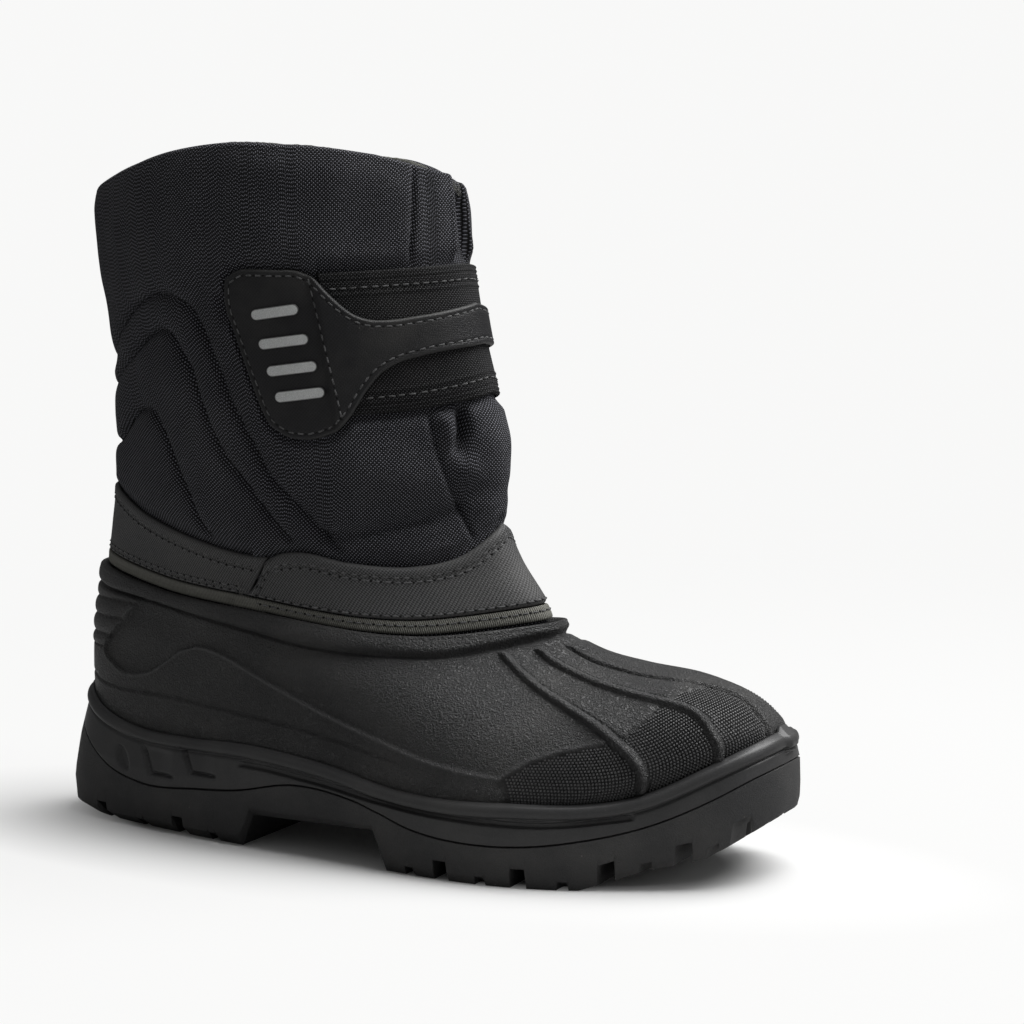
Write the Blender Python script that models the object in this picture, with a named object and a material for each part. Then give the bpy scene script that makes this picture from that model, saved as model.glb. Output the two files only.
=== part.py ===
"""Pull-on winter boot, right foot, standing on its sole.

Metres. Toe to +X, outer side to -Y, up is +Z. The origin lies on the floor
under the middle of the sole's length and width.

The boot is built on two forms, the moulded shell and the textile shaft. Each form
is a stack of plan rings, and each ring follows one row of a short table: where its
heel and toe lie, how high it runs, and how wide it is at heel, waist, ball and toe.
A point on a form has two numbers: u runs once round the leg (0 heel, 0.25 outer
side, 0.5 toe, 0.75 inner side), and t runs up the form from 0 to 1.
"""
import bmesh
import bpy
import numpy as np

# Driving dimensions
LENGTH = 0.310
BALL_WIDTH = 0.116
HEIGHT = 0.276
HALF_BALL = BALL_WIDTH / 2
MIDDLE_X = -0.0019
MIDDLE_Y = -0.0012

# Walls, gaps and layers
GAP = 0.0003
SHELL_WALL = 0.0024
SHAFT_WALL = 0.0042
CUP_GAP = 0.0009
BAND_GAP = 0.0006
SEAM_GAP = 0.0008
DISH_GAP = 0.0014
OVERLAY_GAP = 0.0005
STRAP_GAP = 0.0006
RIM_GAP = 0.0006
BINDING_HEIGHT = 0.0062
BINDING_THICK = 0.0022
BAND_THICK = 0.0013
VAMP_THICK = 0.0021
WEBBING_THICK = 0.0017
OVERLAY_THICK = 0.0016
REFLECTOR_THICK = 0.0007
REFLECTOR_HALF = 0.0022
INSOLE_THICK = 0.0045
INSOLE_INSET = 0.0010
COLLAR_ROUNDING = 0.0012

# Relief of the shell, the shaft and the sole
BEAD_RISE = 0.0014
RIB_RISE = 0.0013
RIB_HALF = 0.0021
SPINE_HALF = 0.0046
PLEAT_DEPTH = 0.0030
PLEAT_HALF = 0.0060
NOTCH_HALF = 0.0026
NOTCH_DEPTH = 0.0062
NOTCH_DRAFT = 0.0007
CHANNEL_HALF = 0.0021
CHANNEL_DEPTH = 0.0048
CHANNEL_DRAFT = 0.0008
DISH_RIM = 0.013
DISH_STEEP = (0.2, 0.8)
WINDOW_DEPTH = 0.0018
GROOVE_DEPTH = 0.0013
EDGE_HEIGHT = 0.0045
EDGE_LAND = 0.0004
WINDOW_DRAFT = 0.0012
GROOVE_RUNOUT = 0.010
BREAST_RUN = 0.004
TIP_RUN = 0.006

# Ring tables. Columns: t up the form, heel and toe position as shares of LENGTH,
# ring height at heel, waist, ball and toe as shares of HEIGHT, half widths at the
# same four places as shares of half the ball width, roundness of the two ends, and
# how much of the foot's inward swing the ring keeps.
COLUMNS = ("t", "heel_x", "toe_x", "z_heel", "z_waist", "z_ball", "z_toe",
           "w_heel", "w_waist", "w_ball", "w_toe", "n_heel", "n_toe", "swing")
SHELL_RINGS = (
    (0.00, -0.458, 0.461, 0.116, 0.094, 0.078, 0.134, 0.552, 0.672, 0.879, 0.793, 2.4, 2.6, 1.0),
    (0.14, -0.481, 0.479, 0.167, 0.134, 0.112, 0.192, 0.638, 0.741, 0.948, 0.879, 2.4, 2.6, 1.0),
    (0.28, -0.485, 0.468, 0.203, 0.167, 0.149, 0.219, 0.641, 0.741, 0.940, 0.845, 2.4, 2.6, 1.0),
    (0.42, -0.485, 0.434, 0.239, 0.199, 0.188, 0.246, 0.641, 0.741, 0.897, 0.759, 2.4, 2.5, 0.9),
    (0.56, -0.485, 0.377, 0.272, 0.228, 0.221, 0.263, 0.633, 0.733, 0.845, 0.655, 2.3, 2.4, 0.8),
    (0.70, -0.482, 0.310, 0.304, 0.257, 0.250, 0.272, 0.621, 0.724, 0.793, 0.569, 2.3, 2.3, 0.7),
    (0.84, -0.478, 0.247, 0.337, 0.286, 0.274, 0.288, 0.603, 0.707, 0.741, 0.500, 2.2, 2.2, 0.6),
    (0.94, -0.472, 0.203, 0.362, 0.308, 0.292, 0.312, 0.595, 0.690, 0.707, 0.466, 2.2, 2.2, 0.5),
    (1.00, -0.469, 0.190, 0.380, 0.326, 0.304, 0.328, 0.586, 0.672, 0.690, 0.448, 2.2, 2.2, 0.5),
)
SHAFT_RINGS = (
    (0.00, -0.454, 0.158, 0.341, 0.286, 0.272, 0.297, 0.526, 0.603, 0.621, 0.379, 2.2, 2.2, 0.5),
    (0.07, -0.458, 0.175, 0.380, 0.326, 0.304, 0.328, 0.533, 0.619, 0.636, 0.395, 2.2, 2.2, 0.5),
    (0.16, -0.451, 0.132, 0.435, 0.388, 0.370, 0.406, 0.552, 0.626, 0.641, 0.400, 2.2, 2.2, 0.4),
    (0.26, -0.442, 0.111, 0.489, 0.449, 0.438, 0.464, 0.603, 0.672, 0.672, 0.431, 2.2, 2.2, 0.3),
    (0.40, -0.439, 0.116, 0.554, 0.529, 0.529, 0.543, 0.672, 0.759, 0.741, 0.483, 2.2, 2.2, 0.2),
    (0.54, -0.435, 0.103, 0.634, 0.620, 0.620, 0.630, 0.741, 0.810, 0.793, 0.534, 2.2, 2.2, 0.1),
    (0.72, -0.433, 0.077, 0.743, 0.736, 0.736, 0.736, 0.793, 0.862, 0.845, 0.603, 2.3, 2.3, 0.0),
    (0.86, -0.446, 0.061, 0.844, 0.844, 0.841, 0.833, 0.828, 0.897, 0.879, 0.621, 2.3, 2.4, 0.0),
    (1.00, -0.453, 0.055, 0.930, 0.980, 0.978, 0.928, 0.828, 0.897, 0.879, 0.621, 2.3, 2.4, 0.0),
)

# Where along a ring the half widths, the swing and the heights are given,
# from heel (0) to toe (1)
WIDTH_PLACES = (0.0, 0.16, 0.42, 0.70, 1.0)
SWING_PLACES = (0.0, 0.42, 0.70, 1.0)
HEIGHT_PLACES = (0.0, 0.40, 0.72, 1.0)
SWING = (0.0, -0.034, -0.017, 0.086)

# Side view lines of the sole. Columns: x as a share of LENGTH, z as a share of HEIGHT
TREAD = ((-0.52, 0.000), (-0.182, 0.000), (-0.165, 0.047), (0.026, 0.053), (0.045, 0.000),
         (0.297, 0.000), (0.371, 0.028), (0.432, 0.044), (0.471, 0.071), (0.500, 0.098))
SEAM = ((-0.505, 0.163), (-0.465, 0.112), (-0.394, 0.080), (-0.348, 0.067), (-0.248, 0.071),
        (-0.187, 0.078), (-0.094, 0.098), (0.000, 0.089), (0.090, 0.061), (0.177, 0.053),
        (0.281, 0.061), (0.371, 0.083), (0.432, 0.116), (0.468, 0.147), (0.500, 0.172))
FEATHER = ((-0.482, 0.175), (-0.410, 0.167), (-0.368, 0.152), (-0.281, 0.143), (-0.171, 0.145),
           (-0.048, 0.132), (0.061, 0.112), (0.203, 0.110), (0.371, 0.132), (0.432, 0.167),
           (0.490, 0.203))
PLATE = ((-0.52, 0.043), (-0.187, 0.043), (-0.145, 0.064), (0.016, 0.065), (0.055, 0.042),
         (0.297, 0.042), (0.384, 0.069), (0.442, 0.094), (0.500, 0.130))

# How far the sole stands out past the shell. Columns: share of the sole's height,
# then the flare at heel, waist, ball and toe as shares of half the ball width
FLARE = (
    (0.00, 0.034, 0.038, 0.052, 0.090),
    (0.10, 0.160, 0.074, 0.079, 0.102),
    (0.30, 0.174, 0.082, 0.090, 0.105),
    (0.62, 0.126, 0.068, 0.076, 0.100),
    (1.00, 0.038, 0.041, 0.052, 0.058),
)

# Lug notches across the sole, and where the lugs of heel and forefoot end, x as
# shares of LENGTH
HEEL_END = -0.190
FORE_START = 0.052
FORE_END = 0.490
NOTCHES = (-0.436, -0.287, 0.127, 0.228, 0.328, 0.411, 0.468)

# Midsole side. Levels as shares of its height, and the share of a window's and of
# the groove's depth at each level; window edges and groove ends as shares of LENGTH
SIDE_LEVELS = ((0.00, 0.0, 0.0), (0.12, 0.0, 0.0), (0.20, 1.0, 0.3), (0.66, 1.0, 1.0),
               (0.74, 0.0, 0.0), (1.00, 0.0, 0.0))
WINDOWS = ((-0.389, -0.353), (-0.335, -0.287), (-0.266, -0.211))
GROOVE = (-0.187, 0.374)

# Ribs over the toe. Columns: t, then u of the side rib and of the toe rib
RIBS = ((0.10, 0.408, 0.454), (0.26, 0.405, 0.453), (0.37, 0.400, 0.453), (0.52, 0.399, 0.451),
        (0.71, 0.415, 0.459), (0.90, 0.437, 0.473), (1.00, 0.447, 0.480))
RIB_FADE = (0.195, 0.90)

# Gusset fold in front of the shaft. Columns: t, u of the fold line, share of its depth
PLEAT = ((0.00, 0.472, 0.0), (0.24, 0.470, 0.0), (0.36, 0.460, 0.8), (0.54, 0.453, 1.0),
         (0.64, 0.457, 0.3), (0.82, 0.468, 0.3), (0.92, 0.470, 1.0), (1.00, 0.472, 1.0))

# Upper edges of the two bands. Columns: u, height as a share of HEIGHT
HEEL_BAND_TOP = ((0.000, 0.501), (0.032, 0.499), (0.108, 0.460), (0.183, 0.432), (0.236, 0.418),
                 (0.270, 0.415))
VAMP_BAND_TOP = ((0.225, 0.380), (0.252, 0.399), (0.272, 0.417), (0.300, 0.425), (0.346, 0.412),
                 (0.407, 0.406), (0.444, 0.416), (0.500, 0.462))
VAMP_END_LOW = 0.228
VAMP_END_HIGH = 0.262
BAND_SLACK = 0.0012

# Strap. Columns: u, lower and upper height as shares of HEIGHT
WEBBING = ((0.350, 0.616, 0.812), (0.420, 0.625, 0.818), (0.500, 0.644, 0.826))
OVERLAY = ((0.256, 0.757, 0.776), (0.259, 0.738, 0.796), (0.267, 0.681, 0.810),
           (0.277, 0.621, 0.817), (0.293, 0.592, 0.818), (0.312, 0.584, 0.817),
           (0.334, 0.589, 0.815), (0.347, 0.598, 0.805), (0.359, 0.616, 0.782),
           (0.376, 0.650, 0.757), (0.390, 0.672, 0.749), (0.405, 0.686, 0.748),
           (0.435, 0.699, 0.753), (0.500, 0.711, 0.769))
OVERLAY_STEP = (0.340, 0.349)
OVERLAY_BETWEEN = (0.368, 0.397, 0.420, 0.450, 0.465, 0.482)

# Grey bars on the tab. Columns: u of both ends, height of both ends as shares of HEIGHT
REFLECTORS = ((0.2830, 0.3290, 0.7550, 0.7640), (0.2855, 0.3335, 0.7150, 0.7235),
              (0.2890, 0.3370, 0.6780, 0.6865), (0.2930, 0.3400, 0.6425, 0.6510))

# Mesh density. Outsole and midsole share the stations of heel and toe, where the
# line between them climbs
SHARED_ENDS = (0.09, 0.40)
SHAFT_LEVELS = (0.0, 0.07, 0.10, 0.13, 0.165, 0.205, 0.26, 0.34, 0.43, 0.54, 0.67, 0.82, 0.93,
                0.97)
SHELL_LEVELS = (0.0, 0.07, 0.14, 0.20, 0.27, 0.36, 0.47, 0.60, 0.74, 0.88, 0.93, 0.985, 1.0)
SHELL_INSIDE = (1.0, 0.82, 0.60, 0.28, 0.0)
SHAFT_INSIDE = (0.985, 0.60, 0.28, 0.0)
FORM_ROWS = 141
FORM_COLUMNS = 721
RING_STEPS = 1440

# Colours and roughness, one row for each material
FINISHES = {
    "rubber_outsole": ((0.030, 0.031, 0.033), 0.62),
    "rubber_midsole": ((0.036, 0.037, 0.039), 0.50),
    "rubber_shell": ((0.034, 0.035, 0.037), 0.48),
    "fabric_shaft": ((0.016, 0.017, 0.022), 0.85),
    "coated_band": ((0.030, 0.031, 0.034), 0.55),
    "binding_tape": ((0.040, 0.042, 0.036), 0.80),
    "webbing": ((0.014, 0.015, 0.018), 0.80),
    "coated_overlay": ((0.028, 0.029, 0.032), 0.50),
    "reflector": ((0.330, 0.340, 0.345), 0.40),
    "felt_insole": ((0.090, 0.100, 0.095), 0.95),
}


def through(knots, values, at):
    """Smooth curve through the knots: cubic Hermite pieces with averaged slopes."""
    knots = np.asarray(knots, float)
    values = np.asarray(values, float)
    at = np.asarray(at, float)
    slope = np.gradient(values, knots)
    k = np.clip(np.searchsorted(knots, at, side="right") - 1, 0, len(knots) - 2)
    span = knots[k + 1] - knots[k]
    s = np.clip((at - knots[k]) / span, 0.0, 1.0)
    start = (2 * s**3 - 3 * s**2 + 1) * values[k] + (s**3 - 2 * s**2 + s) * span * slope[k]
    end = (3 * s**2 - 2 * s**3) * values[k + 1] + (s**3 - s**2) * span * slope[k + 1]
    return start + end


def smooth(share):
    """Soft step from 0 to 1."""
    share = np.clip(share, 0.0, 1.0)
    return share * share * (3 - 2 * share)


def lengthwise(x):
    """Place along the boot as the tables give it: a share of LENGTH."""
    return (x + MIDDLE_X) / LENGTH


def side_line(table, x):
    """Height of one of the sole's side view lines at x."""
    table = np.array(table)
    return np.interp(lengthwise(x), table[:, 0], table[:, 1]) * HEIGHT


def ring(row, u):
    """Points of one plan ring at the shares u of its length round the leg."""
    angle = np.linspace(0.0, 2 * np.pi, RING_STEPS + 1)
    cosine = np.cos(angle)
    sine = np.sin(angle)
    power = 2 / (row["n_heel"] + (row["n_toe"] - row["n_heel"]) * (1 - cosine) / 2)
    along = (1 - np.sign(cosine) * np.abs(cosine)**power) / 2
    bulge = np.sign(sine) * np.abs(sine)**power
    widths = [row["w_heel"], row["w_heel"], row["w_waist"], row["w_ball"], row["w_toe"]]
    heights = [row["z_heel"], row["z_waist"], row["z_ball"], row["z_toe"]]
    half = through(WIDTH_PLACES, widths, along) * HALF_BALL
    swing = through(SWING_PLACES, SWING, along) * row["swing"] * HALF_BALL
    x = (row["heel_x"] + (row["toe_x"] - row["heel_x"]) * along) * LENGTH - MIDDLE_X
    y = swing - bulge * half - MIDDLE_Y
    z = through(HEIGHT_PLACES, heights, along) * HEIGHT
    points = np.stack([x, y, z], axis=-1)
    steps = np.linalg.norm(np.diff(points, axis=0), axis=1)
    travel = np.concatenate([[0.0], np.cumsum(steps)])
    toe = RING_STEPS // 2
    outer = np.arange(RING_STEPS + 1) <= toe
    share = np.where(outer, 0.5 * travel / travel[toe],
                     0.5 + 0.5 * (travel - travel[toe]) / (travel[-1] - travel[toe]))
    return np.stack([np.interp(u, share, points[:, k]) for k in range(3)], axis=-1)


class Form:
    """A smooth surface through a table of rings."""

    def __init__(self, table):
        table = np.array(table)
        self.t = np.linspace(0.0, 1.0, FORM_ROWS)
        self.u = np.linspace(0.0, 1.0, FORM_COLUMNS)
        curves = {name: through(table[:, 0], table[:, k], self.t)
                  for k, name in enumerate(COLUMNS)}
        rows = [{name: curve[k] for name, curve in curves.items()} for k in range(FORM_ROWS)]
        self.points = np.array([ring(row, self.u) for row in rows])
        open_ring = self.points[:, :-1]
        around = np.roll(open_ring, -1, axis=1) - np.roll(open_ring, 1, axis=1)
        around = np.concatenate([around, around[:, :1]], axis=1)
        normal = np.cross(around, np.gradient(self.points, axis=0))
        self.normal = normal / np.linalg.norm(normal, axis=-1, keepdims=True)

    def read(self, field, u, t):
        """Value of a field between the stored rows and columns."""
        u, t = np.broadcast_arrays(np.mod(u, 1.0), np.clip(t, 0.0, 1.0))
        column = u * (FORM_COLUMNS - 1)
        row = t * (FORM_ROWS - 1)
        i = np.minimum(column.astype(int), FORM_COLUMNS - 2)
        j = np.minimum(row.astype(int), FORM_ROWS - 2)
        a = (column - i)[..., None]
        b = (row - j)[..., None]
        low = field[j, i] * (1 - a) + field[j, i + 1] * a
        high = field[j + 1, i] * (1 - a) + field[j + 1, i + 1] * a
        return low * (1 - b) + high * b

    def girth(self, t=0.5):
        """Length of the ring at t, which turns a width into a share of u."""
        line = self.read(self.points, self.u[:-1], t)
        line = np.concatenate([line, line[:1]])
        return np.sum(np.linalg.norm(np.diff(line, axis=0), axis=1))

    def at(self, u, t, lift=0.0):
        """Points on the form, lifted along its outward normal."""
        normal = self.read(self.normal, u, t)
        normal = normal / np.linalg.norm(normal, axis=-1, keepdims=True)
        return self.read(self.points, u, t) + normal * np.asarray(lift)[..., None]

    def t_at_height(self, u, z):
        """The t at which each u reaches the height z."""
        u, z = np.broadcast_arrays(np.asarray(u, float), np.asarray(z, float))
        flat = [np.interp(height, self.read(self.points, place, self.t)[:, 2], self.t)
                for place, height in zip(u.ravel(), z.ravel())]
        return np.array(flat).reshape(u.shape)

    def t_on_line(self, u, table):
        """The t at which each u meets a side view line."""
        found = []
        for place in np.ravel(u):
            column = self.read(self.points, place, self.t)
            above = column[:, 2] - side_line(table, column[:, 0])
            found.append(np.interp(0.0, above, self.t))
        return np.array(found).reshape(np.shape(u))


SHELL = Form(SHELL_RINGS)
SHAFT = Form(SHAFT_RINGS)


class Skin:
    """The faces of one closed solid, row by row."""

    def __init__(self):
        self.mesh = bmesh.new()

    def row(self, points):
        return [self.mesh.verts.new(point) for point in points]

    def bridge(self, low, high, closed=True):
        """Quads between two rows of equal length."""
        count = len(low)
        for k in range(count if closed else count - 1):
            m = (k + 1) % count
            self.mesh.faces.new((low[k], low[m], high[m], high[k]))

    def tube(self, rings):
        """A wall that closes on itself: outside up, inside down."""
        rows = [self.row(points) for points in rings]
        for low, high in zip(rows, rows[1:] + rows[:1]):
            self.bridge(low, high)

    def slab(self, outside, inside):
        """A thin patch between two grids of equal size."""
        outer = [self.row(points) for points in outside]
        inner = [self.row(points) for points in inside]
        for low, high in zip(outer, outer[1:]):
            self.bridge(low, high, closed=False)
        for low, high in zip(inner, inner[1:]):
            self.bridge(high, low, closed=False)
        self.bridge(inner[0], outer[0], closed=False)
        self.bridge(outer[-1], inner[-1], closed=False)
        self.bridge([row[0] for row in outer], [row[0] for row in inner], closed=False)
        self.bridge([row[-1] for row in inner], [row[-1] for row in outer], closed=False)

    def cap(self, rim, shares, place):
        """Close a rim with strips across it, from the outer side to the inner side.

        place(points, k) may move the inside points of strip k.
        """
        half = len(rim) // 2
        strips = []
        for k in range(1, half):
            start = np.array(rim[k].co)
            end = np.array(rim[-k].co)
            wide = np.linalg.norm(end - start)
            across = shares(wide)
            points = start + (end - start) * across[:, None]
            inside = self.row(place(points, k))
            strips.append([rim[k]] + inside + [rim[-k]])
        for near, far in zip(strips, strips[1:]):
            self.bridge(near, far, closed=False)
        for pole, strip in ((rim[0], strips[0]), (rim[half], strips[-1])):
            for a, b in zip(strip, strip[1:]):
                self.mesh.faces.new((pole, a, b))

    def finish(self, name, finish):
        """Make the object, with its faces outward and soft edges smooth."""
        bmesh.ops.recalc_face_normals(self.mesh, faces=self.mesh.faces)
        data = bpy.data.meshes.new(name)
        self.mesh.to_mesh(data)
        self.mesh.free()
        data.materials.append(material(finish))
        data.shade_smooth()
        data.set_sharp_from_angle(angle=np.radians(38))
        piece = bpy.data.objects.new(name, data)
        bpy.context.scene.collection.objects.link(piece)
        return piece


def material(name):
    """Principled material from the table of finishes."""
    found = bpy.data.materials.get(name)
    if found:
        return found
    colour, roughness = FINISHES[name]
    made = bpy.data.materials.new(name)
    made.use_nodes = True
    shader = made.node_tree.nodes["Principled BSDF"]
    shader.inputs["Base Color"].default_value = (*colour, 1.0)
    shader.inputs["Roughness"].default_value = roughness
    shader.inputs["Metallic"].default_value = 0.0
    return made


def both_sides(half):
    """Stations of the outer side from heel to toe, then mirrored back to the heel."""
    half = np.asarray(half)
    return np.concatenate([half, 1.0 - half[-2:0:-1]])


def spread(start, end, step):
    """Even stations from start up to, but not including, end."""
    count = max(1, int(round((end - start) / step)))
    return np.linspace(start, end, count, endpoint=False)


# Sole

def sole_stations(extra):
    """Stations of the sole: close round heel and toe, with any extra ones inside."""
    plain = np.concatenate([spread(0.0, 0.10, 0.0093), spread(0.10, 0.36, 0.021),
                            spread(0.36, 0.50, 0.0089), [0.5]])
    extra = np.sort(extra)
    clear = np.min(np.abs(plain[:, None] - extra[None, :]), axis=1) > 0.0030
    clear[0] = True
    clear[-1] = True
    return both_sides(np.sort(np.concatenate([plain[clear], extra])))


def feather_ring(u):
    """Where the shell meets the sole, and the outward plan direction there."""
    t = SHELL.t_on_line(u, FEATHER)
    points = SHELL.at(u, t)
    normal = SHELL.read(SHELL.normal, u, t)
    normal[:, 2] = 0.0
    return points, normal / np.linalg.norm(normal, axis=1, keepdims=True), t


def sole_ring(u, share):
    """Ring of the sole's side at a share of the height between tread and feather."""
    base, outward, _ = feather_ring(u)
    along = (base[:, 0] - base[0, 0]) / (np.max(base[:, 0]) - base[0, 0])
    table = np.array(FLARE)
    share = np.broadcast_to(share, along.shape)
    columns = [np.interp(share, table[:, 0], table[:, k]) for k in range(1, 5)]
    reach = np.array([through(HEIGHT_PLACES, [c[k] for c in columns], along[k])
                      for k in range(len(along))])
    return base + outward * reach[:, None] * HALF_BALL


def station_at(place):
    """The u of the outer side at which the sole's edge passes a share of LENGTH."""
    u = np.linspace(0.0, 0.5, 401)
    edge = lengthwise(sole_ring(u, 0.1)[:, 0])
    return np.interp(place, edge, u)


def seam_share(u):
    """Share of the sole's height at which outsole and midsole meet."""
    base, _, _ = feather_ring(u)
    low = side_line(TREAD, base[:, 0])
    return (side_line(SEAM, base[:, 0]) - low) / (side_line(FEATHER, base[:, 0]) - low)


def on_sole(u, share, height):
    """Sole ring with its heights replaced by a rule of x."""
    points = sole_ring(u, share)
    points[:, 2] = height(points[:, 0])
    return points


def in_contact(x):
    """1 where the tread carries lugs, 0 under the arch and at the very toe."""
    place = lengthwise(x)
    heel = smooth((HEEL_END - place) * LENGTH / BREAST_RUN)
    fore = smooth((place - FORE_START) * LENGTH / BREAST_RUN)
    tip = smooth((FORE_END - place) * LENGTH / TIP_RUN)
    return np.maximum(heel, fore * tip)


def notch_stations():
    """Both edges of each notch, at the tread and at the groove's floor."""
    edges = []
    for place in NOTCHES:
        for reach in (NOTCH_HALF + NOTCH_DRAFT, NOTCH_HALF):
            edges += [place - reach / LENGTH, place + reach / LENGTH]
    arch = [row[0] for row in TREAD[1:5]]
    return station_at(np.array(edges + arch))


def notch_depth(x):
    """Depth of the cross grooves at x."""
    away = np.min(np.abs(lengthwise(x)[:, None] - np.array(NOTCHES)), axis=1) * LENGTH
    return NOTCH_DEPTH * np.clip((NOTCH_HALF + NOTCH_DRAFT - away) / NOTCH_DRAFT, 0.0, 1.0)


def channel_shares(wide):
    """Shares across the tread at the edges of its two lengthwise channels."""
    reach = min(CHANNEL_HALF, 0.06 * wide)
    draft = min(CHANNEL_DRAFT, 0.02 * wide)
    shares = []
    for middle in (1 / 3, 2 / 3):
        shares += [middle - (reach + draft) / wide, middle - reach / wide,
                   middle + reach / wide, middle + (reach + draft) / wide]
    return np.array(shares)


def inset_ring(u, share, inset):
    """Seam ring moved inward in plan."""
    _, outward, _ = feather_ring(u)
    return sole_ring(u, share) - outward * inset


def dish_rings(u, rim_lift, plate_lift):
    """Rings of the face between outsole and midsole, from the rim to the plate.

    Inside the rim, plate_lift moves them up and inward alike, so that the gap holds
    on the steep slope behind the heel.
    """
    share = seam_share(u)
    rim = inset_ring(u, share, 0.0)
    drop_from = side_line(SEAM, rim[:, 0])
    rim[:, 2] = drop_from + rim_lift
    rings = [rim]
    for way_in, fall in (DISH_STEEP, (1.0, 1.0)):
        points = inset_ring(u, share, way_in * DISH_RIM + plate_lift)
        plate = side_line(PLATE, points[:, 0])
        points[:, 2] = drop_from + (plate - drop_from) * fall + plate_lift
        rings.append(points)
    return rings


def plate_place(lift):
    """Rule for the inside points of the plate."""
    def place(points, k):
        points[:, 2] = side_line(PLATE, points[:, 0]) + lift
        return points
    return place


def three_shares(wide):
    return np.array([0.25, 0.5, 0.75])


def build_outsole():
    u = sole_stations(notch_stations())
    edge = sole_ring(u, 0.10)
    tread = on_sole(u, 0.0, lambda x: side_line(TREAD, x))
    depth = notch_depth(edge[:, 0]) * in_contact(edge[:, 0])
    tread[:, 2] += depth
    low = sole_ring(u, 0.10)
    low[:, 2] = side_line(TREAD, low[:, 0]) + np.maximum(EDGE_HEIGHT, depth + EDGE_LAND)
    share = seam_share(u)
    seam = dish_rings(u, 0.0, 0.0)[0]
    middle = sole_ring(u, 0.5 * (0.1 + share))
    middle[:, 2] = 0.5 * (low[:, 2] + seam[:, 2])

    skin = Skin()
    rows = [skin.row(points) for points in [tread, low, middle] + dish_rings(u, 0.0, 0.0)]
    for bottom, top in zip(rows, rows[1:]):
        skin.bridge(bottom, top)

    def tread_place(points, k):
        base = side_line(TREAD, points[:, 0])
        lug = in_contact(points[:, 0]) * smooth((lengthwise(points[:, 0]) + 0.46) / 0.03)
        channel = CHANNEL_DEPTH * np.array([0, 1, 1, 0, 0, 1, 1, 0]) * lug
        points[:, 2] = base + np.maximum(depth[k], channel)
        return points

    skin.cap(rows[0], channel_shares, tread_place)
    skin.cap(rows[-1], three_shares, plate_place(0.0))
    return skin.finish("outsole", "rubber_outsole")


def window_stations():
    """Edges of the side windows and the ends of the groove."""
    draft = WINDOW_DRAFT / LENGTH
    edges = list(GROOVE)
    for start, end in WINDOWS:
        edges += [start - draft, start, end, end + draft]
    return station_at(np.array(edges))


def recess(x, window_share, groove_share):
    """Depth of the midsole's side relief at x."""
    place = lengthwise(x)
    depth = np.zeros_like(x)
    for start, end in WINDOWS:
        inside = np.minimum(place - start, end - place) * LENGTH / WINDOW_DRAFT
        depth = np.maximum(depth, window_share * WINDOW_DEPTH * np.clip(inside + 1.05, 0, 1))
    inside = np.minimum(place - GROOVE[0], GROOVE[1] - place) * LENGTH / GROOVE_RUNOUT
    return np.maximum(depth, groove_share * GROOVE_DEPTH * np.clip(inside, 0, 1))


def build_midsole():
    lugs = notch_stations()
    shared = lugs[(lugs < SHARED_ENDS[0]) | (lugs > SHARED_ENDS[1])]
    u = sole_stations(np.concatenate([window_stations(), shared]))
    _, outward, t_feather = feather_ring(u)
    share = seam_share(u)
    underside = dish_rings(u, SEAM_GAP, DISH_GAP)[::-1]
    seam = underside[-1]
    top_height = sole_ring(u, 1.0)[:, 2]
    sides = []
    for level, window_share, groove_share in SIDE_LEVELS[1:]:
        points = sole_ring(u, share + (1 - share) * level)
        points -= outward * recess(points[:, 0], window_share, groove_share)[:, None]
        points[:, 2] = seam[:, 2] + (top_height - seam[:, 2]) * level
        sides.append(points)
    cup = [SHELL.at(u, t_feather * part, CUP_GAP) for part in (1.0, 0.66, 0.33, 0.0)]
    floor = cup[-1] - np.array([0.0, 0.0, CUP_GAP])

    skin = Skin()
    rows = [skin.row(points) for points in underside + sides + cup[:3] + [floor]]
    for low, high in zip(rows, rows[1:]):
        skin.bridge(low, high)
    skin.cap(rows[0], three_shares, plate_place(DISH_GAP))
    skin.cap(rows[-1], three_shares, lambda points, k: points)
    return skin.finish("midsole", "rubber_midsole")


# Shell

def column_lines(places, t):
    """Stations as lines up a form: places is a list of numbers or functions of t."""
    return np.array([place(t) if callable(place) else place for place in places])


def rib_line(column, shift):
    """A line beside a rib, as a function of t."""
    table = np.array(RIBS)
    return lambda t: float(through(table[:, 0], table[:, column], t)) + shift


def shell_places():
    """Stations round the shell, with lines that follow the ribs over the toe."""
    edge = RIB_HALF / SHELL.girth()
    spine = SPINE_HALF / SHELL.girth()
    side = [rib_line(1, shift) for shift in (-edge, 0.0, edge)]
    toe = [rib_line(2, shift) for shift in (-edge, 0.0, edge)]
    between = [lambda t, s=s: side[2](t) * (1 - s) + toe[0](t) * s for s in (0.33, 0.67)]
    inner = [lambda t, s=s: toe[2](t) * (1 - s) + (0.5 - 1.5 * spine) * s for s in (0.5,)]
    half = list(spread(0.0, 0.11, 0.0100)) + list(spread(0.11, 0.33, 0.0275))
    half += list(spread(0.33, 0.385, 0.0180))
    half += side + between + toe + inner + [0.5 - 1.5 * spine, 0.5 - spine, 0.5]
    mirror = [lambda t, place=place: 1.0 - (place(t) if callable(place) else place)
              for place in half[-2:0:-1]]
    return half + mirror


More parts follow.
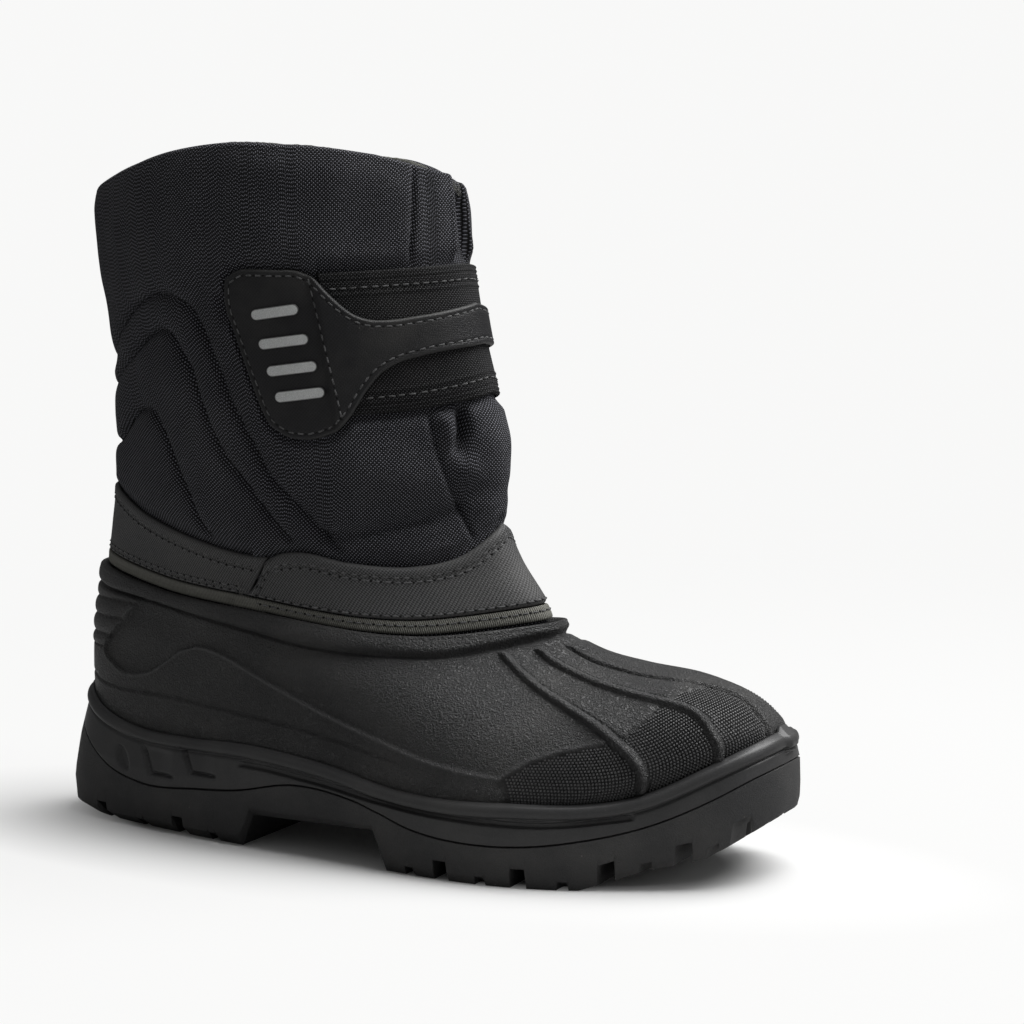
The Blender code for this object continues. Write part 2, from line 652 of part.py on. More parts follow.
def shell_relief(u, t):
    """Height of the ribs, the spine and the rolled rim above the shell."""
    folded = np.where(u > 0.5, 1.0 - u, u)
    ends = smooth((t - RIB_FADE[0]) / 0.04) * smooth((RIB_FADE[1] + 0.03 - t) / 0.05)
    relief = np.zeros_like(folded)
    for column in (1, 2):
        away = np.abs(folded - rib_line(column, 0.0)(t)) * SHELL.girth()
        relief = np.maximum(relief, RIB_RISE * np.clip(1 - away / RIB_HALF, 0, 1))
    away = np.abs(folded - 0.5) * SHELL.girth()
    flank = np.clip((1.5 * SPINE_HALF - away) / (0.5 * SPINE_HALF), 0, 1)
    relief = np.maximum(relief, RIB_RISE * flank)
    bead = BEAD_RISE * smooth((t - 0.90) / 0.04)
    return relief * ends + bead


def build_shell():
    places = shell_places()
    outer = []
    for t in SHELL_LEVELS:
        u = column_lines(places, t)
        lift = shell_relief(u, t)
        outer.append(SHELL.at(u, t, lift if t < 1.0 else 0.3 * lift))
    inner = [SHELL.at(column_lines(places, t), t, -SHELL_WALL) for t in SHELL_INSIDE]
    skin = Skin()
    skin.tube(outer + inner)
    return skin.finish("upper_shell", "rubber_shell")


def build_insole():
    u = both_sides(np.concatenate([spread(0.0, 0.12, 0.02), spread(0.12, 0.36, 0.04),
                                   spread(0.36, 0.5, 0.02), [0.5]]))
    edge = SHELL.at(u, 0.0) - np.array([0.0, 0.0, CUP_GAP - GAP])
    _, outward, _ = feather_ring(u)
    low = edge - outward * (SHELL_WALL + INSOLE_INSET)
    high = low + np.array([0.0, 0.0, INSOLE_THICK])
    skin = Skin()
    rows = [skin.row(low), skin.row(high)]
    skin.bridge(rows[0], rows[1])
    for row in rows:
        skin.cap(row, lambda wide: np.array([0.5]), lambda points, k: points)
    return skin.finish("insole", "felt_insole")


# Shaft

def pleat_line(t):
    """Where the gusset fold runs, and how deep it is, at t."""
    table = np.array(PLEAT)
    return np.interp(t, table[:, 0], table[:, 1]), np.interp(t, table[:, 0], table[:, 2])


def shaft_places():
    """Stations round the shaft, with lines that follow the two gusset folds."""
    reach = PLEAT_HALF / SHAFT.girth()
    folds = [lambda t, s=s: float(pleat_line(t)[0]) + s * reach for s in (-1.0, -0.45, 0.0, 0.45, 1.0)]
    half = list(spread(0.0, 0.437, 0.0219)) + folds + [0.5]
    mirror = [lambda t, place=place: 1.0 - (place(t) if callable(place) else place)
              for place in half[-2:0:-1]]
    return half + mirror


def shaft_relief(u, t):
    """The gusset folds, as a soft trough on each side of the front."""
    folded = np.where(u > 0.5, 1.0 - u, u)
    line, depth = pleat_line(t)
    away = np.abs(folded - line) * SHAFT.girth()
    return -PLEAT_DEPTH * depth * smooth(1 - away / PLEAT_HALF)


def build_shaft():
    places = shaft_places()
    outer = []
    for t in SHAFT_LEVELS:
        u = column_lines(places, t)
        outer.append(SHAFT.at(u, t, shaft_relief(u, t)))
    top = column_lines(places, 1.0)
    outer.append(SHAFT.at(top, 1.0, shaft_relief(top, 1.0) - COLLAR_ROUNDING))
    inner = [SHAFT.at(column_lines(places, t), t, -SHAFT_WALL) for t in SHAFT_INSIDE]
    skin = Skin()
    skin.tube(outer + inner)
    return skin.finish("upper_shaft", "fabric_shaft")


# Layers on the shaft

def rim_height(u):
    """Height of the shell's rim round the leg."""
    return SHELL.at(u, 1.0)[..., 2]


def shaft_patch(u, low, high, inner_lift, outer_lift, rows):
    """Two grids on the shaft between the heights low and high at each u."""
    outside = []
    inside = []
    for share in np.linspace(0.0, 1.0, rows):
        t = SHAFT.t_at_height(u, low + (high - low) * share)
        outside.append(SHAFT.at(u, t, outer_lift))
        inside.append(SHAFT.at(u, t, inner_lift))
    return outside, inside


def build_binding():
    u = column_lines(shaft_places(), SHAFT_LEVELS[2])
    low = rim_height(u) + RIM_GAP
    t_low = SHAFT.t_at_height(u, low)
    t_high = SHAFT.t_at_height(u, low + BINDING_HEIGHT)
    lifts = ((t_low, BAND_GAP), (t_low, BINDING_THICK), (t_high, BINDING_THICK), (t_high, BAND_GAP))
    rings = [SHAFT.at(u, t, np.full_like(u, lift)) for t, lift in lifts]
    skin = Skin()
    skin.tube(rings)
    return skin.finish("rim_binding", "binding_tape")


def band(name, u_low, u_high, top_table, thick):
    """A coated band between the binding and its own upper edge.

    u_low and u_high are its stations along the lower and the upper edge.
    """
    table = np.array(top_table)
    outside = []
    inside = []
    for share in (0.0, 0.5, 1.0):
        u = u_low + (u_high - u_low) * share
        folded = np.abs(np.where(u > 0.5, 1.0 - u, u))
        top = through(table[:, 0], table[:, 1], folded) * HEIGHT
        low = rim_height(u) + RIM_GAP + BINDING_HEIGHT + GAP
        t = SHAFT.t_at_height(np.mod(u, 1.0), low + (top - low) * share)
        outside.append(SHAFT.at(u, t, np.full_like(u, BAND_GAP + thick)))
        inside.append(SHAFT.at(u, t, np.full_like(u, BAND_GAP)))
    skin = Skin()
    skin.slab(outside, inside)
    return skin.finish(name, "coated_band")


def build_bands():
    low = np.linspace(-VAMP_END_LOW + BAND_SLACK, VAMP_END_LOW - BAND_SLACK, 29)
    high = np.linspace(-VAMP_END_HIGH + BAND_SLACK, VAMP_END_HIGH - BAND_SLACK, 29)
    band("heel_band", low, high, HEEL_BAND_TOP, BAND_THICK)
    low = np.linspace(VAMP_END_LOW, 1 - VAMP_END_LOW, 33)
    high = np.linspace(VAMP_END_HIGH, 1 - VAMP_END_HIGH, 33)
    band("vamp_band", low, high, VAMP_BAND_TOP, VAMP_THICK)


def mirrored(table):
    """A table of the outer side with its mirror image on the inner side."""
    table = np.array(table)
    other = table[-2::-1].copy()
    other[:, 0] = 1.0 - other[:, 0]
    return np.concatenate([table, other])


def overlay_stations():
    half = np.unique(np.concatenate([np.array(OVERLAY)[:, 0], OVERLAY_STEP, OVERLAY_BETWEEN]))
    return np.concatenate([half, 1.0 - half[-2::-1]])


def build_strap():
    table = mirrored(WEBBING)
    shared = overlay_stations()
    clear = (shared > table[0, 0] + 0.004) & (shared < table[-1, 0] - 0.004)
    u = np.concatenate([table[:1, 0], shared[clear], table[-1:, 0]])
    low = through(table[:, 0], table[:, 1], u) * HEIGHT
    high = through(table[:, 0], table[:, 2], u) * HEIGHT
    inner_lift = np.full_like(u, STRAP_GAP)
    skin = Skin()
    skin.slab(*shaft_patch(u, low, high, inner_lift, inner_lift + WEBBING_THICK, 4))
    return skin.finish("strap_base", "webbing")


def overlay_lift(u):
    """Underside of the overlay: on the shaft at its tabs, on the webbing between."""
    folded = np.where(u > 0.5, 1.0 - u, u)
    rise = smooth((folded - OVERLAY_STEP[0]) / (OVERLAY_STEP[1] - OVERLAY_STEP[0]))
    return STRAP_GAP + (WEBBING_THICK + OVERLAY_GAP) * rise


def build_overlay():
    table = mirrored(OVERLAY)
    u = overlay_stations()
    low = np.interp(u, table[:, 0], table[:, 1]) * HEIGHT
    high = np.interp(u, table[:, 0], table[:, 2]) * HEIGHT
    inner_lift = overlay_lift(u)
    skin = Skin()
    skin.slab(*shaft_patch(u, low, high, inner_lift, inner_lift + OVERLAY_THICK, 3))
    return skin.finish("strap_overlay", "coated_overlay")


def build_reflectors():
    for number, (start, end, z_start, z_end) in enumerate(REFLECTORS, 1):
        share = (1 - np.cos(np.linspace(0.0, np.pi, 9))) / 2
        u = start + (end - start) * share
        middle = (z_start + (z_end - z_start) * share) * HEIGHT
        reach = 2 * REFLECTOR_HALF / ((end - start) * SHAFT.girth(0.7))
        nearness = np.clip(np.minimum(share, 1 - share) / (0.5 * reach), 0, 1)
        half = REFLECTOR_HALF * np.sqrt(np.maximum(1 - (1 - nearness)**2, 0.02))
        inner_lift = np.full_like(u, STRAP_GAP + OVERLAY_THICK + GAP)
        skin = Skin()
        skin.slab(*shaft_patch(u, middle - half, middle + half, inner_lift,
                               inner_lift + REFLECTOR_THICK, 2))
        skin.finish(f"reflector_{number}", "reflector")


def clear_scene():
    for thing in list(bpy.data.objects):
        bpy.data.objects.remove(thing, do_unlink=True)


def main():
    clear_scene()
    build_outsole()
    build_midsole()
    build_shell()
    build_insole()
    build_shaft()
    build_binding()
    build_bands()
    build_strap()
    build_overlay()
    build_reflectors()


main()
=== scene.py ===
# %% [markdown]
# # A pull-on winter boot, right foot
#
# The real boot has three layers, one above the other: a lugged rubber sole, a moulded
# shell round the foot, and a padded textile shaft round the leg. This lesson dresses the
# bare solids of the CAD model, piece by piece, in the same place and size.
#
# Most of the boot is a skin over a smooth form, so one tool does most of the work: a
# grid of points over the form, lifted or sunk a little where the real surface has a
# rib, a seam or a fold. Arrays from numpy are fast enough to make such grids dense.

import bpy
import numpy as np
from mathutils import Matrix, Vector


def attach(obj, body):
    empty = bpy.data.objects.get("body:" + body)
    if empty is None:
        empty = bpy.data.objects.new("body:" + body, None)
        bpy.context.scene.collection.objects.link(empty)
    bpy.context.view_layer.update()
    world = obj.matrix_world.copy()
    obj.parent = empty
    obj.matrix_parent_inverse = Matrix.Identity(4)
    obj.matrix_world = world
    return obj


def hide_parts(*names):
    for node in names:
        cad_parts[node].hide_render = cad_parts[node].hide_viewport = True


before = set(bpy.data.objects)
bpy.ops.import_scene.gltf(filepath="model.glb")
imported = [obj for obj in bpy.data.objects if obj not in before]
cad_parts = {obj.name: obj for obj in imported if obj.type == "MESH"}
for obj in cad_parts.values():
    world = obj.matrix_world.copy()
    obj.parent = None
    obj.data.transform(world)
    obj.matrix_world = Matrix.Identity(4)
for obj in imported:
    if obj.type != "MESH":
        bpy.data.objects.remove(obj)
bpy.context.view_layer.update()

# %% [markdown]
# ## The last
#
# A boot gets its shape from a last, the foot-shaped block that it is made on. Here the
# last is two stacks of rings, one for the shell and one for the shaft. Each row of a
# table says where a ring's heel and toe lie, how high it runs and how wide it is. The
# rows match the CAD model, so the dressed boot lies exactly on it.
#
# A point on a form has two numbers. `u` runs once round the leg: 0 at the heel, 0.25 on
# the outer side, 0.5 at the toe, 0.75 on the inner side. `t` runs up the form.

# %% Sizes and ring tables
LENGTH = 0.310
HALF_BALL = 0.058
HEIGHT = 0.276
MIDDLE_X = -0.0019
MIDDLE_Y = -0.0012
COLUMNS = ("t", "heel_x", "toe_x", "z_heel", "z_waist", "z_ball", "z_toe",
           "w_heel", "w_waist", "w_ball", "w_toe", "n_heel", "n_toe", "swing")
SHELL_RINGS = (
    (0.00, -0.458, 0.461, 0.116, 0.094, 0.078, 0.134, 0.552, 0.672, 0.879, 0.793, 2.4, 2.6, 1.0),
    (0.14, -0.481, 0.479, 0.167, 0.134, 0.112, 0.192, 0.638, 0.741, 0.948, 0.879, 2.4, 2.6, 1.0),
    (0.28, -0.485, 0.468, 0.203, 0.167, 0.149, 0.219, 0.641, 0.741, 0.940, 0.845, 2.4, 2.6, 1.0),
    (0.42, -0.485, 0.434, 0.239, 0.199, 0.188, 0.246, 0.641, 0.741, 0.897, 0.759, 2.4, 2.5, 0.9),
    (0.56, -0.485, 0.377, 0.272, 0.228, 0.221, 0.263, 0.633, 0.733, 0.845, 0.655, 2.3, 2.4, 0.8),
    (0.70, -0.482, 0.310, 0.304, 0.257, 0.250, 0.272, 0.621, 0.724, 0.793, 0.569, 2.3, 2.3, 0.7),
    (0.84, -0.478, 0.247, 0.337, 0.286, 0.274, 0.288, 0.603, 0.707, 0.741, 0.500, 2.2, 2.2, 0.6),
    (0.94, -0.472, 0.203, 0.362, 0.308, 0.292, 0.312, 0.595, 0.690, 0.707, 0.466, 2.2, 2.2, 0.5),
    (1.00, -0.469, 0.190, 0.380, 0.326, 0.304, 0.328, 0.586, 0.672, 0.690, 0.448, 2.2, 2.2, 0.5),
)
SHAFT_RINGS = (
    (0.00, -0.454, 0.158, 0.341, 0.286, 0.272, 0.297, 0.526, 0.603, 0.621, 0.379, 2.2, 2.2, 0.5),
    (0.07, -0.458, 0.175, 0.380, 0.326, 0.304, 0.328, 0.533, 0.619, 0.636, 0.395, 2.2, 2.2, 0.5),
    (0.16, -0.451, 0.132, 0.435, 0.388, 0.370, 0.406, 0.552, 0.626, 0.641, 0.400, 2.2, 2.2, 0.4),
    (0.26, -0.442, 0.111, 0.489, 0.449, 0.438, 0.464, 0.603, 0.672, 0.672, 0.431, 2.2, 2.2, 0.3),
    (0.40, -0.439, 0.116, 0.554, 0.529, 0.529, 0.543, 0.672, 0.759, 0.741, 0.483, 2.2, 2.2, 0.2),
    (0.54, -0.435, 0.103, 0.634, 0.620, 0.620, 0.630, 0.741, 0.810, 0.793, 0.534, 2.2, 2.2, 0.1),
    (0.72, -0.433, 0.077, 0.743, 0.736, 0.736, 0.736, 0.793, 0.862, 0.845, 0.603, 2.3, 2.3, 0.0),
    (0.86, -0.446, 0.061, 0.844, 0.844, 0.841, 0.833, 0.828, 0.897, 0.879, 0.621, 2.3, 2.4, 0.0),
    (1.00, -0.453, 0.055, 0.930, 0.980, 0.978, 0.928, 0.828, 0.897, 0.879, 0.621, 2.3, 2.4, 0.0),
)
WIDTH_PLACES = (0.0, 0.16, 0.42, 0.70, 1.0)
SWING_PLACES = (0.0, 0.42, 0.70, 1.0)
HEIGHT_PLACES = (0.0, 0.40, 0.72, 1.0)
SWING = (0.0, -0.034, -0.017, 0.086)
FORM_ROWS = 201
FORM_COLUMNS = 1081
RING_STEPS = 1440


# %% Curves through a few knots
def through(knots, values, at):
    """Smooth curve through the knots: cubic Hermite pieces with averaged slopes.

    values holds one number for each knot, or a row of numbers, one for each place in at.
    """
    knots = np.asarray(knots, float)
    values = np.asarray(values, float)
    at = np.asarray(at, float)
    slope = np.gradient(values, knots, axis=0)
    k = np.clip(np.searchsorted(knots, at, side="right") - 1, 0, len(knots) - 2)
    span = knots[k + 1] - knots[k]
    s = np.clip((at - knots[k]) / span, 0.0, 1.0)
    here = (k,) if values.ndim == 1 else (k, np.arange(len(at)))
    there = (k + 1, *here[1:])
    start = (2 * s**3 - 3 * s**2 + 1) * values[here] + (s**3 - 2 * s**2 + s) * span * slope[here]
    end = (3 * s**2 - 2 * s**3) * values[there] + (s**3 - s**2) * span * slope[there]
    return start + end


def smooth(share):
    """Soft step from 0 to 1."""
    share = np.clip(share, 0.0, 1.0)
    return share * share * (3 - 2 * share)


def fold_over(u):
    """The same place on the outer side for a place on the inner side."""
    u = np.mod(u, 1.0)
    return np.where(u > 0.5, 1.0 - u, u)


# %% One ring, and a form of many rings
def ring(row, u):
    """Points of one plan ring at the shares u of its length round the leg."""
    angle = np.linspace(0.0, 2 * np.pi, RING_STEPS + 1)
    cosine = np.cos(angle)
    sine = np.sin(angle)
    power = 2 / (row["n_heel"] + (row["n_toe"] - row["n_heel"]) * (1 - cosine) / 2)
    along = (1 - np.sign(cosine) * np.abs(cosine)**power) / 2
    bulge = np.sign(sine) * np.abs(sine)**power
    widths = [row["w_heel"], row["w_heel"], row["w_waist"], row["w_ball"], row["w_toe"]]
    heights = [row["z_heel"], row["z_waist"], row["z_ball"], row["z_toe"]]
    half = through(WIDTH_PLACES, widths, along) * HALF_BALL
    swing = through(SWING_PLACES, SWING, along) * row["swing"] * HALF_BALL
    x = (row["heel_x"] + (row["toe_x"] - row["heel_x"]) * along) * LENGTH - MIDDLE_X
    y = swing - bulge * half - MIDDLE_Y
    z = through(HEIGHT_PLACES, heights, along) * HEIGHT
    points = np.stack([x, y, z], axis=-1)
    steps = np.linalg.norm(np.diff(points, axis=0), axis=1)
    travel = np.concatenate([[0.0], np.cumsum(steps)])
    toe = RING_STEPS // 2
    outer = np.arange(RING_STEPS + 1) <= toe
    share = np.where(outer, 0.5 * travel / travel[toe],
                     0.5 + 0.5 * (travel - travel[toe]) / (travel[-1] - travel[toe]))
    return np.stack([np.interp(u, share, points[:, k]) for k in range(3)], axis=-1)


class Form:
    """A smooth surface through a table of rings."""

    def __init__(self, table):
        table = np.array(table)
        self.t = np.linspace(0.0, 1.0, FORM_ROWS)
        self.u = np.linspace(0.0, 1.0, FORM_COLUMNS)
        curves = {name: through(table[:, 0], table[:, k], self.t)
                  for k, name in enumerate(COLUMNS)}
        rows = [{name: curve[k] for name, curve in curves.items()} for k in range(FORM_ROWS)]
        self.points = np.array([ring(row, self.u) for row in rows])
        open_ring = self.points[:, :-1]
        around = np.roll(open_ring, -1, axis=1) - np.roll(open_ring, 1, axis=1)
        around = np.concatenate([around, around[:, :1]], axis=1)
        normal = np.cross(around, np.gradient(self.points, axis=0))
        self.normal = normal / np.linalg.norm(normal, axis=-1, keepdims=True)

    def read(self, field, u, t):
        """Value of a field between the stored rows and columns."""
        u, t = np.broadcast_arrays(np.mod(u, 1.0), np.clip(t, 0.0, 1.0))
        column = u * (FORM_COLUMNS - 1)
        row = t * (FORM_ROWS - 1)
        i = np.minimum(column.astype(int), FORM_COLUMNS - 2)
        j = np.minimum(row.astype(int), FORM_ROWS - 2)
        a = (column - i)[..., None]
        b = (row - j)[..., None]
        low = field[j, i] * (1 - a) + field[j, i + 1] * a
        high = field[j + 1, i] * (1 - a) + field[j + 1, i + 1] * a
        return low * (1 - b) + high * b

    def girth(self, t=0.5):
        """Length of the ring at t."""
        line = self.read(self.points, self.u, t)
        return np.sum(np.linalg.norm(np.diff(line, axis=0), axis=1))

    def normals(self, u, t):
        """Outward unit normals."""
        normal = self.read(self.normal, u, t)
        return normal / np.linalg.norm(normal, axis=-1, keepdims=True)

    def at(self, u, t, lift=0.0):
        """Points on the form, lifted along its outward normal."""
        return self.read(self.points, u, t) + self.normals(u, t) * np.asarray(lift)[..., None]

    def t_at(self, u, z):
        """The t at which the places u reach the heights z, halved step by step."""
        u, z = np.broadcast_arrays(np.asarray(u, float), np.asarray(z, float))
        height = self.points[..., 2:3]
        return halve(u.shape, lambda t: self.read(height, u, t)[..., 0] > z)


def halve(shape, beyond, rounds=20):
    """The share from 0 to 1 past which beyond() turns true, at every place at once."""
    low = np.zeros(shape)
    high = np.ones(shape)
    for _ in range(rounds):
        middle = (low + high) / 2
        over = beyond(middle)
        high = np.where(over, middle, high)
        low = np.where(over, low, middle)
    return (low + high) / 2


SHELL = Form(SHELL_RINGS)
SHAFT = Form(SHAFT_RINGS)
print("girth of shell and shaft, mm:", round(SHELL.girth() * 1000), round(SHAFT.girth(0.75) * 1000))

# %% [markdown]
# ## Grids, lines and distances
#
# A few helpers make nearly every mesh of this boot. A **ring piece** turns rows of points
# round the leg into faces, with map coordinates in metres, so that a weave or a rib in a
# material has its real size. A **drawn line** is a line over a form, given by a few places
# and heights. And the **distance** from each grid point to such a line tells the grid
# where a seam, a groove or a rib runs: a cut or a ridge is then a short formula of it.
#
# The same surface could be modelled by hand, loop by loop, but then any change to the
# last would mean doing it all again.

# %% Meshes from arrays
def quads(grid):
    """Corner numbers of the faces between the rows and columns of a grid."""
    sides = [grid[:-1, :-1], grid[:-1, 1:], grid[1:, 1:], grid[1:, :-1]]
    return np.stack(sides, axis=-1).reshape(-1, 4)


def wrapped(rows, columns):
    """Point numbers of a grid, its first column once more at the end."""
    index = np.arange(rows * columns).reshape(rows, columns)
    return np.concatenate([index, index[:, :1]], axis=1)


def in_scene(name, mesh):
    """Smooth object from a mesh, put into the scene."""
    mesh.shade_smooth()
    piece = bpy.data.objects.new(name, mesh)
    bpy.context.scene.collection.objects.link(piece)
    return piece


def build(name, vertices, faces, chart, chart_corners, marks=None):
    """Mesh object from arrays, with a map in metres and named marks on its points."""
    mesh = bpy.data.meshes.new(name)
    mesh.vertices.add(len(vertices))
    mesh.vertices.foreach_set("co", np.ascontiguousarray(vertices, dtype=np.float32).ravel())
    sides = faces.shape[1]
    mesh.loops.add(faces.size)
    mesh.loops.foreach_set("vertex_index", faces.ravel().astype(np.int32))
    mesh.polygons.add(len(faces))
    mesh.polygons.foreach_set("loop_start", np.arange(0, faces.size, sides, dtype=np.int32))
    mesh.update(calc_edges=True)
    mesh.validate()
    if chart is not None:
        layer = mesh.uv_layers.new(name="Metres")
        layer.data.foreach_set("uv", chart[chart_corners.ravel()].astype(np.float32).ravel())
    for mark, values in (marks or {}).items():
        attribute = mesh.attributes.new(mark, "FLOAT", "POINT")
        attribute.data.foreach_set("value", np.asarray(values, np.float32).ravel())
    return in_scene(name, mesh)


def from_faces(name, vertices, faces):
    """Mesh object from quads; a quad whose last two corners agree is a triangle."""
    lists = [face[:3] if face[2] == face[3] else face for face in faces.tolist()]
    mesh = bpy.data.meshes.new(name)
    mesh.from_pydata(vertices.tolist(), [], lists)
    mesh.validate()
    return in_scene(name, mesh)


# %% Rings of points round the leg
def chart_of(form, u, points):
    """Map in metres: along the leg's girth, and up the surface."""
    steps = np.linalg.norm(np.diff(points, axis=0), axis=-1)
    up = np.concatenate([np.zeros_like(steps[:1]), np.cumsum(steps, axis=0)])
    along = np.broadcast_to(u, up.shape) * form.girth(0.5)
    return np.stack([along, up], axis=-1)


def closed_chart(form, u, points):
    """The same for a ring, with one more column where it closes."""
    u = np.append(u, u[0] + 1.0)
    return chart_of(form, u, np.concatenate([points, points[:, :1]], axis=1))


def tube_piece(name, form, u, grid, marks=None):
    """A ring-shaped mesh that also closes from its last row to its first."""
    chart = closed_chart(form, u, np.concatenate([grid, grid[:1]]))
    index = wrapped(*grid.shape[:2])
    index = np.concatenate([index, index[:1]])
    places = np.arange(chart.shape[0] * chart.shape[1]).reshape(chart.shape[:2])
    return build(name, grid.reshape(-1, 3), quads(index), chart.reshape(-1, 2), quads(places), marks)


# %% Lines over a form
def travelled(points):
    """Length along a line of points, from its start to each of them."""
    return np.concatenate([[0.0], np.cumsum(np.linalg.norm(np.diff(points, axis=0), axis=1))])


def column_of(table, k, at):
    """Smooth reading of column k of a table whose first column is the place."""
    table = np.array(table)
    return through(table[:, 0], table[:, k], at)


def drawn(form, table, spacing=0.0015):
    """Close points along a line whose rows give u and height, with their u and t."""
    table = np.array(table)
    travel = travelled(form.at(table[:, 0], form.t_at(table[:, 0], table[:, 1])))
    at = np.linspace(0.0, travel[-1], max(4, int(travel[-1] / spacing)))
    u, z = (through(travel, table[:, k], at) for k in (0, 1))
    t = form.t_at(u, z)
    return form.at(u, t), u, t


def distance(points, line, reach=0.02):
    """Distance from each point to a line of close points, or reach where it is farther."""
    shape = points.shape[:-1]
    flat = points.reshape(-1, 3)
    best = np.full(len(flat), reach)
    run_length = 12
    for start in range(0, len(line) - 1, run_length):
        run = line[start:start + run_length + 1]
        low = run.min(axis=0) - reach
        high = run.max(axis=0) + reach
        near = np.nonzero(np.all((flat > low) & (flat < high), axis=1))[0]
        if len(near) == 0:
            continue
        some = flat[near]
        for a, b in zip(run, run[1:]):
            span = b - a
            share = np.clip((some - a) @ span / max(span @ span, 1e-12), 0.0, 1.0)
            away = np.linalg.norm(some - a - share[:, None] * span, axis=1)
            best[near] = np.minimum(best[near], away)
    return best.reshape(shape)


def nearest(points, lines, reach=0.012):
    """Distance to the nearest of several lines."""
    return np.min([distance(points, line, reach) for line in lines], axis=0)


def both_sides(table):
    """A line of the outer side, and the same line on the inner side."""
    return [list(table), [(1.0 - row[0], *row[1:]) for row in table]]


def on_both(form, table):
    """Close points of a line given by place and height, and of its mirror image."""
    return [drawn(form, rows)[0] for rows in both_sides(table)]


def soft_line(away, half, power=2.0):
    """Profile of a soft line: 1 on the line, nearly nothing at twice half away."""
    return np.exp(-np.abs(away / half)**power)


def round_cord(share):
    """Profile of a round cord: 0 at the shares -1 and 1, 1 between them."""
    return np.sqrt(np.clip(1 - share**2, 0, 1))


# %% Many small things from one template
def placed(template, faces, centres, along, up):
    """Copies of one small mesh, each turned to its own axes, as one list."""
    along = along / np.linalg.norm(along, axis=1, keepdims=True)
    side = np.cross(up, along)
    side = side / np.linalg.norm(side, axis=1, keepdims=True)
    over = np.cross(along, side)
    turned = (template[None, :, 0:1] * along[:, None] + template[None, :, 1:2] * side[:, None]
              + template[None, :, 2:3] * over[:, None])
    vertices = (turned + centres[:, None]).reshape(-1, 3)
    offsets = (np.arange(len(centres)) * len(template))[:, None, None]
    return vertices, (faces[None] + offsets).reshape(-1, faces.shape[1])


print("helpers ready")

# %% [markdown]
# ## The sole
#
# The sole is two pieces. The outsole is hard rubber with lugs: blocks between cross
# grooves and two lengthwise channels, which bite into snow. The midsole is the softer
# cup above it, whose rim laps up round the shell. Both follow the shell's foot line and
# flare out from it, most of all round the heel.
#
# Its side is a grid with extra columns at each notch edge, so that the notches come out
# square. A sculpted side would need far more points for the same corners.

# %% Lines of the sole, as shares of the length and height
TREAD = ((-0.520, 0.000), (-0.182, 0.000), (-0.165, 0.047), (0.026, 0.053), (0.045, 0.000),
         (0.297, 0.000), (0.371, 0.028), (0.432, 0.044), (0.471, 0.071), (0.500, 0.098))
SEAM = ((-0.505, 0.170), (-0.465, 0.124), (-0.410, 0.083), (-0.352, 0.066), (-0.248, 0.071),
        (-0.187, 0.078), (-0.094, 0.098), (0.000, 0.089), (0.090, 0.061), (0.177, 0.053),
        (0.281, 0.063), (0.371, 0.090), (0.432, 0.124), (0.468, 0.150), (0.500, 0.172))
FEATHER = ((-0.482, 0.190), (-0.445, 0.166), (-0.405, 0.152), (-0.360, 0.144), (-0.281, 0.142),
           (-0.171, 0.144), (-0.048, 0.132), (0.061, 0.112), (0.203, 0.110), (0.371, 0.132),
           (0.432, 0.167), (0.490, 0.203))
FLARE = ((0.00, 0.034, 0.038, 0.052, 0.090), (0.10, 0.160, 0.074, 0.079, 0.102),
         (0.30, 0.174, 0.082, 0.090, 0.105), (0.62, 0.126, 0.068, 0.076, 0.100),
         (1.00, 0.038, 0.041, 0.052, 0.058))
NOTCHES = (-0.427, -0.287, 0.127, 0.228, 0.328, 0.411, 0.468)
SMALL_NOTCHES = (-0.356, -0.228, 0.082, 0.180, 0.280, 0.371, 0.441)
NOTCH_HALF = 0.0026
NOTCH_DEPTH = 0.0076
SMALL_HALF = 0.0017
SMALL_DEPTH = 0.0034
NOTCH_DRAFT = 0.0005
SMALL_REACH = 0.008
HEEL_END = -0.190
FORE_START = 0.052
FORE_END = 0.490
CHANNELS = (1 / 3, 2 / 3)
CHANNEL_HALF = 0.0021
CHANNEL_DEPTH = 0.0048
CHANNEL_DRAFT = 0.0007
CHANNEL_START = -0.46
CHANNEL_RUN = 0.03
BREAST_RUN = 0.004
TIP_RUN = 0.006
SOLE_STATIONS = 300
SIDE_SHARES = (0.0, 0.02, 0.05, 0.09, 0.14, 0.20, 0.28, 0.38, 0.50, 0.62, 0.75, 0.87, 0.95, 1.0)
BOTTOM_SHARES = (0.0, 0.01, 0.03, 0.06, 0.10, 0.15, 0.20, 0.26, 0.42, 0.46, 0.5)
LID_LIP = 0.0008
LID_REACH = 0.012


# %% Where things lie along the sole
def lengthwise(x):
    """Place along the boot as the tables give it: a share of LENGTH."""
    return (x + MIDDLE_X) / LENGTH


def side_line(table, x):
    """Height of one of the sole's side view lines at x; only the tread has corners."""
    points = np.array(table)
    place = lengthwise(x)
    if table is TREAD:
        return np.interp(place, points[:, 0], points[:, 1]) * HEIGHT
    return through(points[:, 0], points[:, 1], place) * HEIGHT


def t_on_line(u, table):
    """The t at which the shell meets a side view line."""
    def beyond(t):
        point = SHELL.read(SHELL.points, u, t)
        return point[..., 2] > side_line(table, point[..., 0])
    return halve(np.shape(u), beyond)


def feather(u):
    """Where the shell meets the sole, and the outward plan direction there."""
    t = t_on_line(u, FEATHER)
    outward = SHELL.normals(u, t)
    outward[..., 2] = 0.0
    outward /= np.linalg.norm(outward, axis=-1, keepdims=True)
    return SHELL.read(SHELL.points, u, t), outward, t


